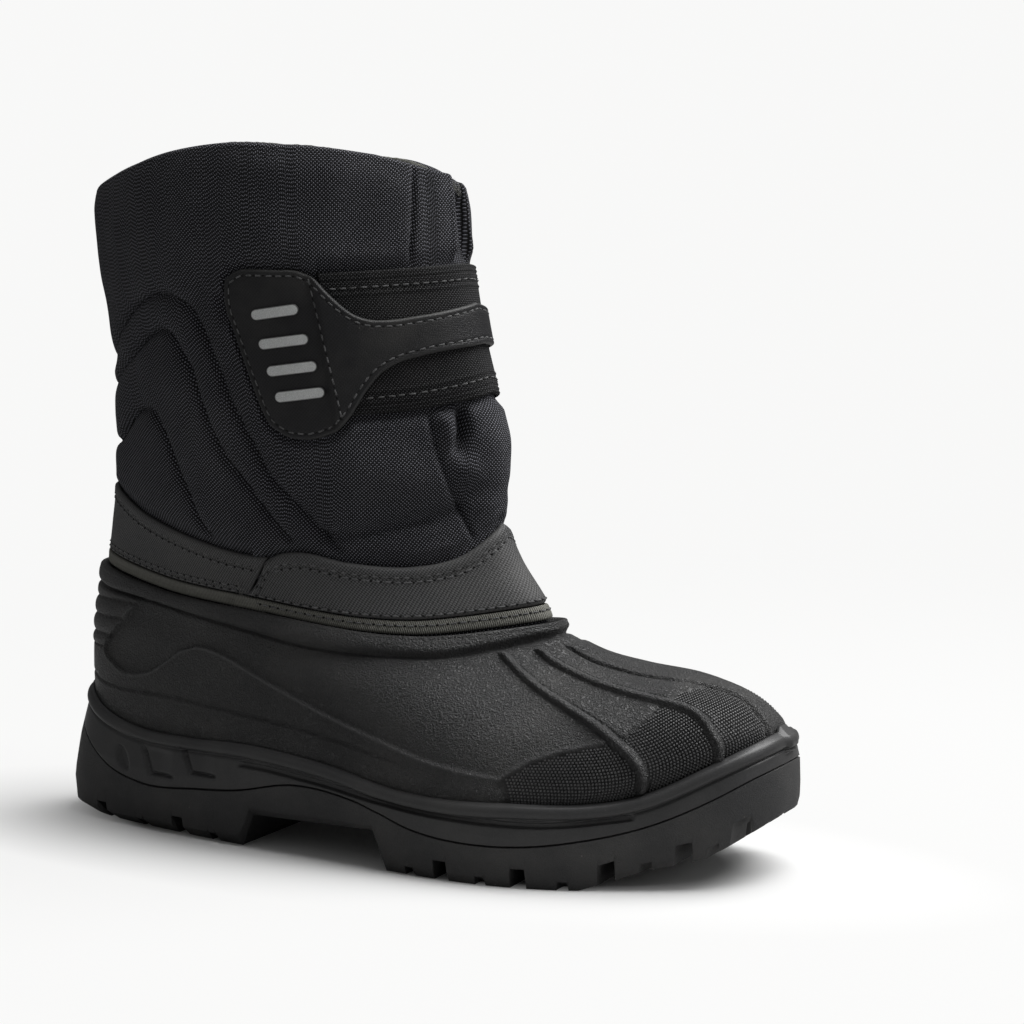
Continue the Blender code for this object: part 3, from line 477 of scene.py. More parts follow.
def sole_ring(u, share):
    """Ring of the sole's side at a share of the height between tread and feather."""
    base, outward, _ = feather(u)
    along = (base[:, 0] - base[0, 0]) / (np.max(base[:, 0]) - base[0, 0])
    table = np.array(FLARE)
    share = np.broadcast_to(share, along.shape)
    reach = [np.interp(share, table[:, 0], table[:, k]) for k in range(1, 5)]
    return base + outward * through(HEIGHT_PLACES, reach, along)[:, None] * HALF_BALL


def station_at(place):
    """The u of the outer side at which the sole's edge passes a share of LENGTH."""
    u = np.linspace(0.0, 0.5, 801)
    return np.interp(place, lengthwise(sole_ring(u, 0.1)[:, 0]), u)


def sole_columns(places, count):
    """Even stations round the sole, and close ones at both edges of each place."""
    plain = np.linspace(0.0, 0.5, count)
    extra = np.sort(station_at(np.array(places)))
    clear = np.min(np.abs(plain[:, None] - extra[None, :]), axis=1) > 0.0005
    clear[[0, -1]] = True
    half = np.unique(np.concatenate([plain[clear], extra]))
    return np.concatenate([half, 1.0 - half[-2:0:-1]])


def in_contact(x):
    """1 where the tread carries lugs, 0 under the arch and at the very toe."""
    place = lengthwise(x)
    heel = smooth((HEEL_END - place) * LENGTH / BREAST_RUN)
    fore = smooth((place - FORE_START) * LENGTH / BREAST_RUN)
    tip = smooth((FORE_END - place) * LENGTH / TIP_RUN)
    return np.maximum(heel, fore * tip)


def cut(x, places, half, depth):
    """Depth at x of square cuts at the places."""
    away = np.min(np.abs(lengthwise(x)[..., None] - np.array(places)), axis=-1) * LENGTH
    return depth * np.clip((half + NOTCH_DRAFT - away) / NOTCH_DRAFT, 0.0, 1.0)


# %% Outsole
def tread_strip(start, end, big, small):
    """Points across the tread from the outer to the inner edge, cut by both channels."""
    wide = np.linalg.norm((end - start)[:2])
    reach = min(CHANNEL_HALF, 0.06 * wide)
    draft = min(CHANNEL_DRAFT, 0.02 * wide)
    edge = [m + s * (reach + d) / wide for m in CHANNELS for s in (-1, 1) for d in (0, draft)]
    even = BOTTOM_SHARES + tuple(1 - share for share in BOTTOM_SHARES[:-1])
    share = np.sort(np.concatenate([even, edge]))
    points = start + (end - start) * share[:, None]
    lug = in_contact(points[:, 0]) * smooth((lengthwise(points[:, 0]) - CHANNEL_START) / CHANNEL_RUN)
    away = np.min(np.abs(share[:, None] - np.array(CHANNELS)), axis=1) * wide
    channel = CHANNEL_DEPTH * np.clip((reach + draft - away) / draft, 0, 1) * lug
    inward = np.minimum(share, 1 - share) * wide
    nick = small * smooth(1 - inward / SMALL_REACH)
    points[:, 2] = side_line(TREAD, points[:, 0]) + np.maximum(np.maximum(channel, big), nick)
    points[0] = start
    points[-1] = end
    return points


def outsole_mesh():
    """The side as a ring of columns, closed from below by strips across the tread."""
    edges = [row[0] for row in TREAD[1:5]]
    for places, half in ((NOTCHES, NOTCH_HALF), (SMALL_NOTCHES, SMALL_HALF)):
        for reach in (half + NOTCH_DRAFT, half):
            edges += [place + s * reach / LENGTH for place in places for s in (-1, 1)]
    u = sole_columns(edges, SOLE_STATIONS)
    base, outward, _ = feather(u)
    x = sole_ring(u, 0.10)[:, 0]
    floor = side_line(TREAD, x)
    top = side_line(FEATHER, base[:, 0])
    contact = in_contact(x)
    big = cut(x, NOTCHES, NOTCH_HALF, NOTCH_DEPTH) * contact
    small = cut(x, SMALL_NOTCHES, SMALL_HALF, SMALL_DEPTH) * contact
    bottom = floor + np.maximum(big, small)
    seam = side_line(SEAM, base[:, 0])
    rows = []
    for share in SIDE_SHARES:
        z = bottom + (seam - bottom) * share
        points = sole_ring(u, (z - floor) / (top - floor))
        points[:, 2] = z
        rows.append(points)
    lip = rows[-1] - outward * LID_LIP
    lip[:, 2] += 0.25 * LID_LIP
    side = np.array(rows + [lip, rows[-1] - outward * LID_REACH])
    half = len(u) // 2
    strips = np.array([tread_strip(rows[0][k], rows[0][-k], big[k], small[k])
                       for k in range(1, half)])
    closed = wrapped(*side.shape[:2])
    side_index = closed[:, :-1]
    middle = np.arange(strips[:, 1:-1].size // 3).reshape(half - 1, -1) + side_index.size
    strip_index = np.concatenate([side_index[0, 1:half, None], middle,
                                  side_index[0, :half:-1, None]], axis=1)
    heel, toe = strip_index[0], strip_index[-1]
    ends = [(side_index[0, 0], a, b, b) for a, b in zip(heel, heel[1:])]
    ends += [(side_index[0, half], b, a, a) for a, b in zip(toe, toe[1:])]
    vertices = np.concatenate([side.reshape(-1, 3), strips[:, 1:-1].reshape(-1, 3),
                               [side[-1].mean(axis=0)]])
    centre = len(vertices) - 1
    lid = [(a, b, centre, centre) for a, b in zip(closed[-1], closed[-1, 1:])]
    faces = [quads(closed), quads(strip_index), np.array(ends), np.array(lid)]
    return vertices, np.concatenate(faces)


outsole = from_faces("lugged_outsole", *outsole_mesh())
outsole.data.set_sharp_from_angle(angle=np.radians(32))
print("outsole faces:", len(outsole.data.polygons))

# %% [markdown]
# ## The midsole cup
#
# Its side carries small relief from the mould: three shallow windows at the heel, a long
# double groove along the waist that ends square below the ball, a rounded bead along the
# top edge, and a small block in front of the toe where the shell's middle band ends.
#
# Each is a formula of the place along the boot and the height, taken off the side.

# %% Midsole relief
WINDOW_DEPTH = 0.0024
GROOVE_DEPTH = 0.0020
GROOVE = ((-0.187, 0.1210), (-0.150, 0.1205), (-0.087, 0.1145), (-0.040, 0.1090), (0.005, 0.1020),
          (0.070, 0.0940), (0.180, 0.0890), (0.270, 0.0900), (0.357, 0.1020))
GROOVE_HALF = 0.0014
GROOVE_DROP = 0.0008
FINE_LINE_UP = 0.0022
FINE_LINE_DEPTH = 0.0011
TOP_BEAD = 0.0048
TOP_BEAD_RISE = 0.0014
BEAD_DIP = 0.0007
EYE = (-0.391, 0.098)
EYE_HALF = (0.0054, 0.0024)
EYE_TURN = (0.80, 0.60)
EYE_DEPTH = 0.0017
PANES = ((-0.3510, -0.2990, 0.081, 0.124), (-0.2800, -0.2250, 0.092, 0.131))
PANE_LEAN = 0.55
PANE_INSET = 0.004
TOE_BLOCK_HALF = 0.0042
TOE_BLOCK_RISE = 0.0018
SEAM_GAP = 0.0008
SIDE_ROWS = 46
CUP_STATIONS = 430
CUP_GAP = 0.0009
CUP_LIP = ((0.0022, 0.0009), (0.0012, 0.0008), (0.0009, -0.0002))


def pane_depth(x, z, pane):
    """A pane cut in along its rear and lower edges; it fades towards front and top."""
    start, end, low, high = pane
    above = z - low * HEIGHT
    behind = (x + MIDDLE_X - start * LENGTH) - (PANE_INSET - PANE_LEAN * above)
    ahead = end * LENGTH - (x + MIDDLE_X) + 0.5 * PANE_INSET
    below = high * HEIGHT - z
    inside = np.minimum(behind, above)
    line = soft_line(inside - 0.0004, 0.00055)
    fade = smooth(ahead / 0.004) * smooth(below / 0.003) * smooth((inside + 0.002) / 0.001)
    wedge = 0.35 * smooth(behind / 0.0009) * smooth(above / 0.0009) * smooth(ahead / 0.010)
    return WINDOW_DEPTH * (line + wedge) * fade


def eye_depth(x, z):
    """A slanting oval hollow behind the panes."""
    along = (lengthwise(x) - EYE[0]) * LENGTH
    up = z - EYE[1] * HEIGHT
    turned = along * EYE_TURN[0] + up * EYE_TURN[1]
    across = up * EYE_TURN[0] - along * EYE_TURN[1]
    away = np.hypot(across / EYE_HALF[0], turned / EYE_HALF[1])
    return EYE_DEPTH * smooth((1.15 - away) / 0.35)


def groove_depth(x, z, down):
    """The waist's broad groove, and a fine line above it that keeps clear of the bead."""
    place = lengthwise(x)
    first, last = GROOVE[0][0], GROOVE[-1][0]
    ends = smooth((place - first) * LENGTH / 0.002) * smooth((last - place) * LENGTH / 0.0012)
    off = z - side_line(GROOVE, x)
    low = off + GROOVE_DROP
    broad = GROOVE_DEPTH * smooth((GROOVE_HALF - low) / 0.0009) * smooth((low + GROOVE_HALF) / 0.0006)
    clear = smooth((down - TOP_BEAD - 0.0018) / 0.0010)
    fine = FINE_LINE_DEPTH * soft_line(off - FINE_LINE_UP, 0.00045)
    return (broad + fine * clear) * ends


def side_relief(x, z, top):
    """What the mould adds to the midsole's side, outward, at x and z."""
    down = top - z
    bead = np.clip(down / TOP_BEAD, 0.0, 1.0)
    relief = TOP_BEAD_RISE * round_cord(2 * bead - 1) * (bead < 1)
    relief -= BEAD_DIP * soft_line(down - TOP_BEAD - 0.0003, 0.0006)
    for pane in PANES:
        relief -= pane_depth(x, z, pane)
    return relief - eye_depth(x, z) - groove_depth(x, z, down)


# %% Midsole
def midsole_mesh():
    """Rows from the sole seam up the side, over the lip and down inside the cup."""
    u = sole_columns([p for pane in PANES for p in pane[:2]] + [GROOVE[0][0], GROOVE[-1][0]], CUP_STATIONS)
    base, outward, t_feather = feather(u)
    floor = side_line(TREAD, sole_ring(u, 0.1)[:, 0])
    seam = side_line(SEAM, base[:, 0]) + SEAM_GAP
    top = base[:, 2]
    block = smooth((TOE_BLOCK_HALF - np.abs(base[:, 1] - base[len(u) // 2, 1])) / 0.0012)
    block = block * (base[:, 0] > 0.1)
    rows = []
    for share in np.linspace(0.0, 1.0, SIDE_ROWS):
        z = seam + (top - seam) * share
        points = sole_ring(u, (z - floor) / (top - floor))
        points[:, 2] = z
        relief = side_relief(points[:, 0], z, top)
        relief += TOE_BLOCK_RISE * block * smooth((share - 0.30) / 0.10)
        rows.append(points + outward * relief[:, None])
    for k, (reach, lift) in enumerate(CUP_LIP):
        lip = SHELL.at(u, t_feather, np.full_like(u, reach))
        lip[:, 2] += lift + 0.0020 * block * (k < 2)
        rows.append(lip)
    rows += [SHELL.at(u, t_feather * part, np.full_like(u, CUP_GAP)) for part in (0.66, 0.33, 0.0)]
    under = rows[0] - outward * 0.010
    under[:, 2] += 0.001
    deep = rows[-1].copy()
    deep[:, 2] -= 0.002
    return np.array([under] + rows + [deep])


cup = midsole_mesh()
index = wrapped(*cup.shape[:2])
midsole = from_faces("midsole_cup", cup.reshape(-1, 3), quads(np.concatenate([index, index[:1]])))
print("midsole faces:", len(midsole.data.polygons))

# %% [markdown]
# ## The shell
#
# The shell is moulded in one piece from soft rubber. Its rim is rolled over into a thick
# bead, ribs run down from the bead over the toe to stiffen it, a flat band crosses the
# toe's crown, and the heel has scalloped ribs as a kick-off aid. The lower toe carries
# fields of small square knobs.
#
# The ribs are lines over the form. Each grid point is lifted by a profile of its distance
# to them: half a circle for a cord, a dip beside it for the dark line in the mould.

# %% Lines over the shell: place round the leg, and height in metres
RIBS = ((0.06, 0.4120, 0.4535), (0.26, 0.4080, 0.4535), (0.42, 0.4040, 0.4555),
        (0.52, 0.4042, 0.4475), (0.60, 0.4065, 0.4445), (0.71, 0.4141, 0.4483),
        (0.82, 0.4251, 0.4547), (0.93, 0.4365, 0.4640))
RIB_HALF = 0.0018
RIB_HEIGHT = 0.0019
RIB_DIPS = (0.0014, 0.0004)
RIB_FLANK = 0.012
RIB_FLANK_RISE = 0.0005
SPINE_HALF = ((0.04, 0.0080), (0.18, 0.0076), (0.30, 0.0062), (0.42, 0.0050), (0.50, 0.0066),
              (0.58, 0.0110), (0.66, 0.0130), (0.77, 0.0124), (0.86, 0.0106), (0.96, 0.0084))
SPINE_HEIGHT = 0.0010
BEAD_LINE = ((0.0, 0.0974), (0.030, 0.0962), (0.0383, 0.0955), (0.0986, 0.0927), (0.1479, 0.0900),
             (0.2174, 0.0858), (0.2732, 0.0815), (0.3388, 0.0796), (0.3821, 0.0792),
             (0.4340, 0.0824), (0.4714, 0.0852), (0.5003, 0.0867))
BEAD_RISE = 0.0024
BEAD_SPREAD = 0.60
BEAD_DEPTH = 0.0012
RIM_RAISE = ((0.0, 0.0), (0.06, 0.0002), (0.13, 0.0013), (0.19, 0.0036), (0.245, 0.0050),
             (0.300, 0.0048), (0.345, 0.0031), (0.390, 0.0010), (0.440, 0.0002), (0.500, 0.0))
HEEL_GROOVES = (0.0974, 0.0903, 0.0832, 0.0757, 0.0702)
HEEL_RIB_END = ((0.066, 0.035), (0.0724, 0.0461), (0.0792, 0.0625), (0.0857, 0.0783),
                (0.0926, 0.0986), (0.0974, 0.112))
HEEL_BORDER = ((0.112, 0.0974), (0.0986, 0.0926), (0.0783, 0.0857), (0.0625, 0.0792),
               (0.0461, 0.0724), (0.0435, 0.0690))
SWOOSH = ((0.0430, 0.0690), (0.0455, 0.0670), (0.0527, 0.0648), (0.0606, 0.0625), (0.0730, 0.0620),
          (0.0888, 0.0636), (0.1078, 0.0683), (0.1308, 0.0738), (0.1564, 0.0769), (0.1748, 0.0761),
          (0.1912, 0.0732), (0.2049, 0.0681), (0.2240, 0.0609), (0.2443, 0.0545), (0.2673, 0.0494),
          (0.2903, 0.0445), (0.3132, 0.0416), (0.3382, 0.0399))
LOWER_LINE = ((0.0, 0.0600), (0.0238, 0.0581), (0.0363, 0.0561), (0.0547, 0.0551), (0.0934, 0.0549),
              (0.1282, 0.0538), (0.1682, 0.0516), (0.2049, 0.0491), (0.2325, 0.0462),
              (0.2568, 0.0432), (0.3000, 0.0380))
FIELD_TOP = ((0.3260, 0.0360), (0.3382, 0.0399), (0.3552, 0.0455), (0.3736, 0.0492),
             (0.3959, 0.0526), (0.4071, 0.0546), (0.4136, 0.0560), (0.4150, 0.0570),
             (0.4287, 0.0612), (0.4484, 0.0664), (0.4570, 0.0678), (0.4672, 0.0699),
             (0.4815, 0.0710), (0.4944, 0.0710), (0.5000, 0.0710))
FIELD_START = 0.330
FIELD_SINK = 0.0009
FIELD_LIP = 0.0005
SWOOSH_END = 0.335
SWOOSH_RISE = 0.0011
EDGE_RIDGE_RISE = 0.0003
SCALLOP_RISE = 0.0016
SCALLOP_SINK = 0.0011
LOWER_DEPTH = 0.0009
SHELL_WALL = 0.0024
RIM_ROUND = 0.0019
SHELL_ROWS = 86
BEAD_ROWS = 20
SHELL_STATIONS = 820
ROLL_STEPS = 12


def shell_columns():
    """Stations round the shell, closer over the toe and at the heel."""
    u = np.linspace(0.0, 1.0, 4001)
    toe = smooth((0.13 - np.abs(u - 0.5)) / 0.02)
    heel = smooth((0.10 - np.minimum(u, 1 - u)) / 0.02)
    density = 1 + 1.1 * toe + 0.3 * heel
    travel = np.concatenate([[0.0], np.cumsum((density[1:] + density[:-1]) / 2)])
    return np.interp(np.linspace(0.0, travel[-1], SHELL_STATIONS + 1)[:-1], travel, u)


def rim_raise(u):
    """How far the rim stands above the solid's, round the leg."""
    return column_of(RIM_RAISE, 1, fold_over(u))


def rim_height(u):
    """Height of the shell's rim round the leg."""
    return SHELL.read(SHELL.points, u, 1.0)[..., 2] + rim_raise(u)


# %% Ribs and spine over the toe
def rib_lines():
    """Close points along the four ribs, from the midsole up to the bead."""
    t = np.linspace(0.06, 0.885, 130)
    halves = [column_of(RIBS, k, t) for k in (1, 2)]
    return [SHELL.at(u, t) for half in halves for u in (half, 1.0 - half)]


def from_spine(u, t):
    """Distance past the edge of the flat band over the toe's crown."""
    return np.abs(u - 0.5) * SHELL.girth() - column_of(SPINE_HALF, 1, t)


def rib_relief(u, t, rib):
    """Cords with a dark dip beside them, and the flat band with a line at its edge."""
    side = fold_over(u)
    rear, front = (column_of(RIBS, k, t) for k in (1, 2))
    rearward = np.where(np.abs(side - rear) < np.abs(side - front), side < rear, side < front)
    start = smooth((t - 0.05) / 0.03)
    end = smooth((0.90 - t) / 0.02)
    relief = RIB_HEIGHT * round_cord(rib / RIB_HALF) * end * start
    relief -= np.where(rearward, *RIB_DIPS) * soft_line(rib - RIB_HALF - 0.0003, 0.0006) * end
    flank = smooth((RIB_FLANK - rib) / RIB_FLANK) * np.where(rearward, 0.0, RIB_FLANK_RISE)
    relief += flank * end * start * (rib > RIB_HALF)
    past = from_spine(u, t)
    crown = (side > 0.4) * end
    relief = np.maximum(relief, SPINE_HEIGHT * smooth((0.0005 - past) / 0.0010) * crown)
    return relief - 0.0008 * soft_line(past - 0.0009, 0.0005) * crown


# %% Flank, heel ribs and knob fields
def edge_at(table, at):
    """Straight reading of a table of two columns."""
    table = np.array(table)
    return np.interp(at, table[:, 0], table[:, 1])


def flank_distance(side, z, points):
    """Distance outside the sunk flank, which the heel ribs and the long curve bound."""
    swoosh = np.array(SWOOSH)
    low_edge = np.interp(side, swoosh[:, 0], swoosh[:, 1], left=0.068, right=0.0)
    sunk = (side > edge_at(HEEL_RIB_END, z)) & (z > low_edge) & (side > swoosh[0, 0])
    away = nearest(points, on_both(SHELL, HEEL_BORDER + SWOOSH[1:]))
    return np.where(sunk, -away, away)


def scalloped(relief, side, z, below_bead):
    """The same relief with scalloped ribs round the heel, which run out at the flank."""
    inside = smooth((edge_at(HEEL_RIB_END, z) - side) * SHELL.girth() / 0.0020 + 0.3)
    for high, low in zip(HEEL_GROOVES, HEEL_GROOVES[1:]):
        share = np.clip((z - low) / (high - low), 0, 1)
        scallop = (SCALLOP_RISE * round_cord(2 * share - 1) - SCALLOP_SINK) * inside
        relief = np.where((z > low) & (z <= high) & below_bead, relief + scallop, relief)
    return relief


def shell_relief(u, t, points):
    """Height of all that is moulded on the shell, and marks of knob field and of edges that get a painted
    highlight.
    """
    side = fold_over(u)
    z = points[..., 2]
    rib = nearest(points, rib_lines())
    relief = rib_relief(u, t, rib)
    groove = column_of(BEAD_LINE, 1, side)
    bead = z - groove
    share = np.clip(bead / (rim_height(u) - groove), 0, 1)
    rolled = BEAD_RISE * np.sqrt(1 - ((share - 0.5) / BEAD_SPREAD)**2) * smooth(bead / 0.0010)
    relief = np.where(bead > 0, rolled, relief) - BEAD_DEPTH * soft_line(bead, 0.0007, 1.5)
    # All outside the sunk flank stands proud, with a low ridge along the edge that also gets a painted
    # highlight
    past = flank_distance(side, z, points)
    proud = smooth(past / 0.0008 + 0.5) * smooth((0.345 - side) / 0.03)
    relief += SWOOSH_RISE * proud * (bead < 0) * smooth(-bead / 0.0015)
    clear = bead < -0.004
    lit = soft_line(past - 0.0007, 0.0005) * (side < SWOOSH_END) * clear
    relief = scalloped(relief + EDGE_RIDGE_RISE * lit, side, z, bead < 0)
    line = nearest(points, on_both(SHELL, LOWER_LINE))
    relief -= LOWER_DEPTH * soft_line(line, 0.0006) * smooth((0.29 - side) / 0.04)
    # Sunk fields for the knobs, between the ribs
    top = np.interp(side, *np.array(FIELD_TOP).T, left=0.0)
    free = smooth((rib - RIB_HALF - 0.0003) / 0.0006) * smooth((from_spine(u, t) - 0.0008) / 0.0008)
    field = smooth((top - z) / 0.0006 + 0.5) * smooth((side - FIELD_START) / 0.004) * free
    lip = soft_line(z - top - 0.0009, 0.0006) * smooth((side - FIELD_START - 0.002) / 0.006) * free
    relief += FIELD_LIP * lip * clear - FIELD_SINK * field
    ridge = soft_line(rib, 0.0009) * smooth((t - 0.05) / 0.03) * smooth((0.90 - t) / 0.02)
    # The edge mark paints a grey highlight on the swoosh's edge, the rib crests and the field lip
    edge_highlight = lit * smooth((side - 0.055) / 0.03) + 0.35 * ridge + 0.5 * lip * (side < 0.42)
    return relief, field, np.clip(edge_highlight, 0, 1)


# %% Shell skin
u_shell = shell_columns()
t_foot = t_on_line(u_shell, FEATHER) * 0.72
t_roll = SHELL.t_at(u_shell, SHELL.read(SHELL.points, u_shell, 1.0)[:, 2] - RIM_ROUND)
side_shares = np.linspace(0.0, 0.92, SHELL_ROWS)
share = np.concatenate([side_shares, np.linspace(0.92, 1.0, BEAD_ROWS)[1:]])[:, None]
t_shell = t_foot + (t_roll - t_foot) * share
wide_u = np.broadcast_to(u_shell, t_shell.shape)
raised = rim_raise(u_shell) * smooth((share - 0.90) / 0.10)
bare = SHELL.at(wide_u, t_shell)
bare[..., 2] += raised
lift, field, edge_highlight = shell_relief(wide_u, t_shell, bare)
outside = SHELL.at(wide_u, t_shell, lift)
outside[..., 2] += raised
normal = SHELL.normals(u_shell, t_roll)
foot = SHELL.at(u_shell, t_roll)
foot[:, 2] += raised[-1]
middle_lift = (lift[-1][:, None] - SHELL_WALL) / 2
half_wide = (lift[-1][:, None] + SHELL_WALL) / 2
roll = []
for angle in np.linspace(0.0, np.pi, ROLL_STEPS)[1:]:
    points = foot + normal * (middle_lift + half_wide * np.cos(angle))
    points[:, 2] += RIM_ROUND * np.sin(angle) * 1.1
    roll.append(points)
for part in (0.86, 0.60, 0.30, 0.0):
    t = t_foot + (t_roll - t_foot) * part
    roll.append(SHELL.at(u_shell, t, np.full_like(u_shell, -SHELL_WALL)))
unmarked = np.zeros((len(roll), len(u_shell)))
marks = {"field": np.concatenate([field, unmarked]), "edge_highlight": np.concatenate([edge_highlight, unmarked])}
shell = tube_piece("moulded_shell", SHELL, u_shell, np.concatenate([outside, np.array(roll)]), marks)
print("shell faces:", len(shell.data.polygons))

# %% [markdown]
# ## Knobs
#
# The knob fields are rows of little square pyramids with flat tops, a good millimetre
# apart. A bump map would do from afar, but a knob field shows its depth at the toe, so
# each knob is real: one template of ten triangles, copied to every place.

# %% Knobs over the toe
KNOB_PITCH = 0.00128
KNOB_HALF = 0.00046
KNOB_TOP = 0.00026
KNOB_HEIGHT = 0.00090
KNOB_START = 0.338
KNOB_ROWS = 60
FIRST_ROW = 0.0004
KNOB_SUNK = 0.0001


def knob_places():
    """Places of the knobs: rows that follow the foot line, even along each row."""
    step = KNOB_PITCH / SHELL.girth(0.2)
    half = np.arange(KNOB_START, 0.5 - 0.5 * step, step)
    foot_t = t_on_line(half, FEATHER)
    rows = FIRST_ROW + np.arange(KNOB_ROWS) * KNOB_PITCH
    t = np.empty((KNOB_ROWS, len(half)))
    for k, place in enumerate(half):
        climb = np.linspace(foot_t[k], 0.9, 400)
        t[:, k] = np.interp(rows, travelled(SHELL.at(np.full(400, place), climb)), climb)
    u = np.broadcast_to(half, t.shape)
    _, field, _ = shell_relief(u, t, SHELL.at(u, t))
    keep = field > 0.96
    return np.concatenate([u[keep], 1.0 - u[keep]]), np.concatenate([t[keep], t[keep]])


u_knob, t_knob = knob_places()
centres = SHELL.at(u_knob, t_knob, np.full_like(u_knob, -FIELD_SINK - KNOB_SUNK))
along = SHELL.at(u_knob + 0.001, t_knob) - SHELL.at(u_knob - 0.001, t_knob)
corner = np.array([(-1, -1), (1, -1), (1, 1), (-1, 1)], float)
template = np.concatenate([np.column_stack([corner * KNOB_HALF, np.zeros(4)]),
                           np.column_stack([corner * KNOB_TOP, np.full(4, KNOB_HEIGHT)])])
knob_faces = np.array([(4, 5, 6, 7), (0, 1, 5, 4), (1, 2, 6, 5), (2, 3, 7, 6), (3, 0, 4, 7),
                       (3, 2, 1, 0)])
vertices, faces = placed(template, knob_faces, centres, along, SHELL.normals(u_knob, t_knob))
knobs = from_faces("toe_knobs", vertices, faces)
knobs.data.shade_flat()
print("knobs:", len(u_knob))

# %% [markdown]
# ## The padded shaft
#
# The shaft is a woven fabric over wadding. Quilting seams pull it down in long arcs round
# the ankle, and the wadding swells between them. In front a gusset folds in on each side
# so that the shaft opens wide; its fold shows as a soft edge above and below the strap.
#
# A cloth simulation could find such folds, but here each one has a known place in the
# photograph. So they are drawn: lines over the form, and soft troughs and ridges from
# the distance to them.

# %% Lines over the shaft: place round the leg, and height in metres
QUILT_OUTER = ((0.0, 0.186), (0.03, 0.188), (0.06, 0.193), (0.084, 0.200), (0.142, 0.213),
               (0.179, 0.216), (0.199, 0.214), (0.214, 0.209), (0.223, 0.201), (0.232, 0.190),
               (0.243, 0.174), (0.258, 0.160), (0.274, 0.147), (0.298, 0.137), (0.326, 0.125),
               (0.342, 0.1175))
QUILT_MIDDLE = ((0.0, 0.176), (0.04, 0.178), (0.080, 0.186), (0.110, 0.192), (0.148, 0.200),
                (0.169, 0.202), (0.181, 0.200), (0.188, 0.195), (0.198, 0.187), (0.206, 0.174),
                (0.215, 0.163), (0.229, 0.152), (0.248, 0.143), (0.268, 0.132), (0.292, 0.122))
QUILT_INNER = ((0.0, 0.154), (0.03, 0.155), (0.065, 0.158), (0.086, 0.164), (0.115, 0.170),
               (0.131, 0.170), (0.142, 0.165), (0.149, 0.161), (0.156, 0.1525), (0.164, 0.144),
               (0.178, 0.134), (0.190, 0.125), (0.198, 0.122))
QUILTS = (QUILT_OUTER, QUILT_MIDDLE, QUILT_INNER)
COLLAR_RAISE = ((0.160, 0.0), (0.220, 0.0010), (0.270, 0.0017), (0.322, 0.0018), (0.366, 0.0040),
                (0.410, 0.0064), (0.442, 0.0068), (0.470, 0.0066), (0.490, 0.0060),
                (0.515, 0.0025), (0.540, 0.0))
RAISE_FROM = 0.228
SOFT_CREASE = ((0.330, 0.124), (0.359, 0.1255), (0.398, 0.128), (0.436, 0.1316), (0.454, 0.134))
SEAM_ABOVE = ((0.4368, 0.222), (0.4376, 0.2283), (0.4444, 0.2517), (0.4465, 0.2655))
SEAM_BELOW = ((0.4285, 0.176), (0.4292, 0.170), (0.4309, 0.162), (0.4334, 0.153), (0.4418, 0.144),
              (0.4528, 0.136), (0.4612, 0.1287), (0.4680, 0.120), (0.471, 0.114))
FOLD_ABOVE = ((0.4874, 0.218), (0.4885, 0.232), (0.4899, 0.243), (0.4908, 0.268))
VALLEY = ((0.4628, 0.178), (0.4604, 0.1706), (0.4579, 0.1627), (0.4530, 0.157))
HEEL_BAND_TOP = ((0.000, 0.501), (0.032, 0.499), (0.108, 0.460), (0.183, 0.432), (0.236, 0.418),
                 (0.270, 0.415))
VAMP_BAND_TOP = ((0.225, 0.380), (0.252, 0.399), (0.272, 0.417), (0.300, 0.425), (0.346, 0.412),
                 (0.407, 0.406), (0.444, 0.416), (0.500, 0.462))
WEBBING = ((0.350, 0.616, 0.812), (0.420, 0.625, 0.818), (0.500, 0.644, 0.826))
OVERLAY = ((0.256, 0.757, 0.776), (0.259, 0.738, 0.796), (0.267, 0.681, 0.810),
           (0.277, 0.621, 0.817), (0.293, 0.592, 0.818), (0.312, 0.584, 0.817),
           (0.334, 0.589, 0.815), (0.347, 0.598, 0.805), (0.359, 0.616, 0.782),
           (0.376, 0.650, 0.757), (0.390, 0.672, 0.749), (0.405, 0.686, 0.748),
           (0.435, 0.699, 0.753), (0.500, 0.711, 0.769))
SHAFT_WALL = 0.0042
FABRIC_ROUND = 0.0021
SHAFT_COLUMNS = 570
SHAFT_ROWS = 140
SHAFT_START = 0.02
INNER_ROWS = 22
QUILT_RISE = 0.0022
CREASE_DEPTH = 0.0026
GUSSET_SEAM_DEPTH = 0.0024
STRIP_DEPTH = 0.0042
STRIP_RANGE = (0.219, 0.260)
LAP_DEPTH = 0.0013
POCKET_DEPTH = 0.0072
WAVE_RISE = 0.00045
SWELLINGS = ((0.0012, 0.4820, 0.163, 0.0080, 0.0110), (0.0028, 0.4440, 0.166, 0.0034, 0.0100),
             (0.0026, 0.4560, 0.150, 0.0060, 0.0050), (-0.0014, 0.4700, 0.141, 0.0100, 0.0040),
             (0.0016, 0.3850, 0.146, 0.0220, 0.0110))
GIRTH = SHAFT.girth(0.75)


# %% Where the strap and the bands lie on the fabric
def strap_edges(side):
    """Lower and upper edge of the whole strap, in metres."""
    overlay = np.array(OVERLAY)
    on_web = side > WEBBING[0][0]
    low = np.interp(side, overlay[:, 0], overlay[:, 1])
    high = np.interp(side, overlay[:, 0], overlay[:, 2])
    low = np.where(on_web, np.minimum(low, column_of(WEBBING, 1, side)), low)
    high = np.where(on_web, np.maximum(high, column_of(WEBBING, 2, side)), high)
    return low * HEIGHT, high * HEIGHT


def free_of_layers(side, z):
    """Distance from the strap and the bands, 0 where they lie on the fabric."""
    low, high = strap_edges(side)
    off = np.maximum(low - z, z - high)
    beside = (OVERLAY[0][0] - side) * GIRTH
    strap = np.hypot(np.maximum(off, 0), np.maximum(beside, 0))
    top = np.where(side < 0.25, edge_at(HEEL_BAND_TOP, side), edge_at(VAMP_BAND_TOP, side)) * HEIGHT
    return np.minimum(strap, np.maximum(z - top, 0))


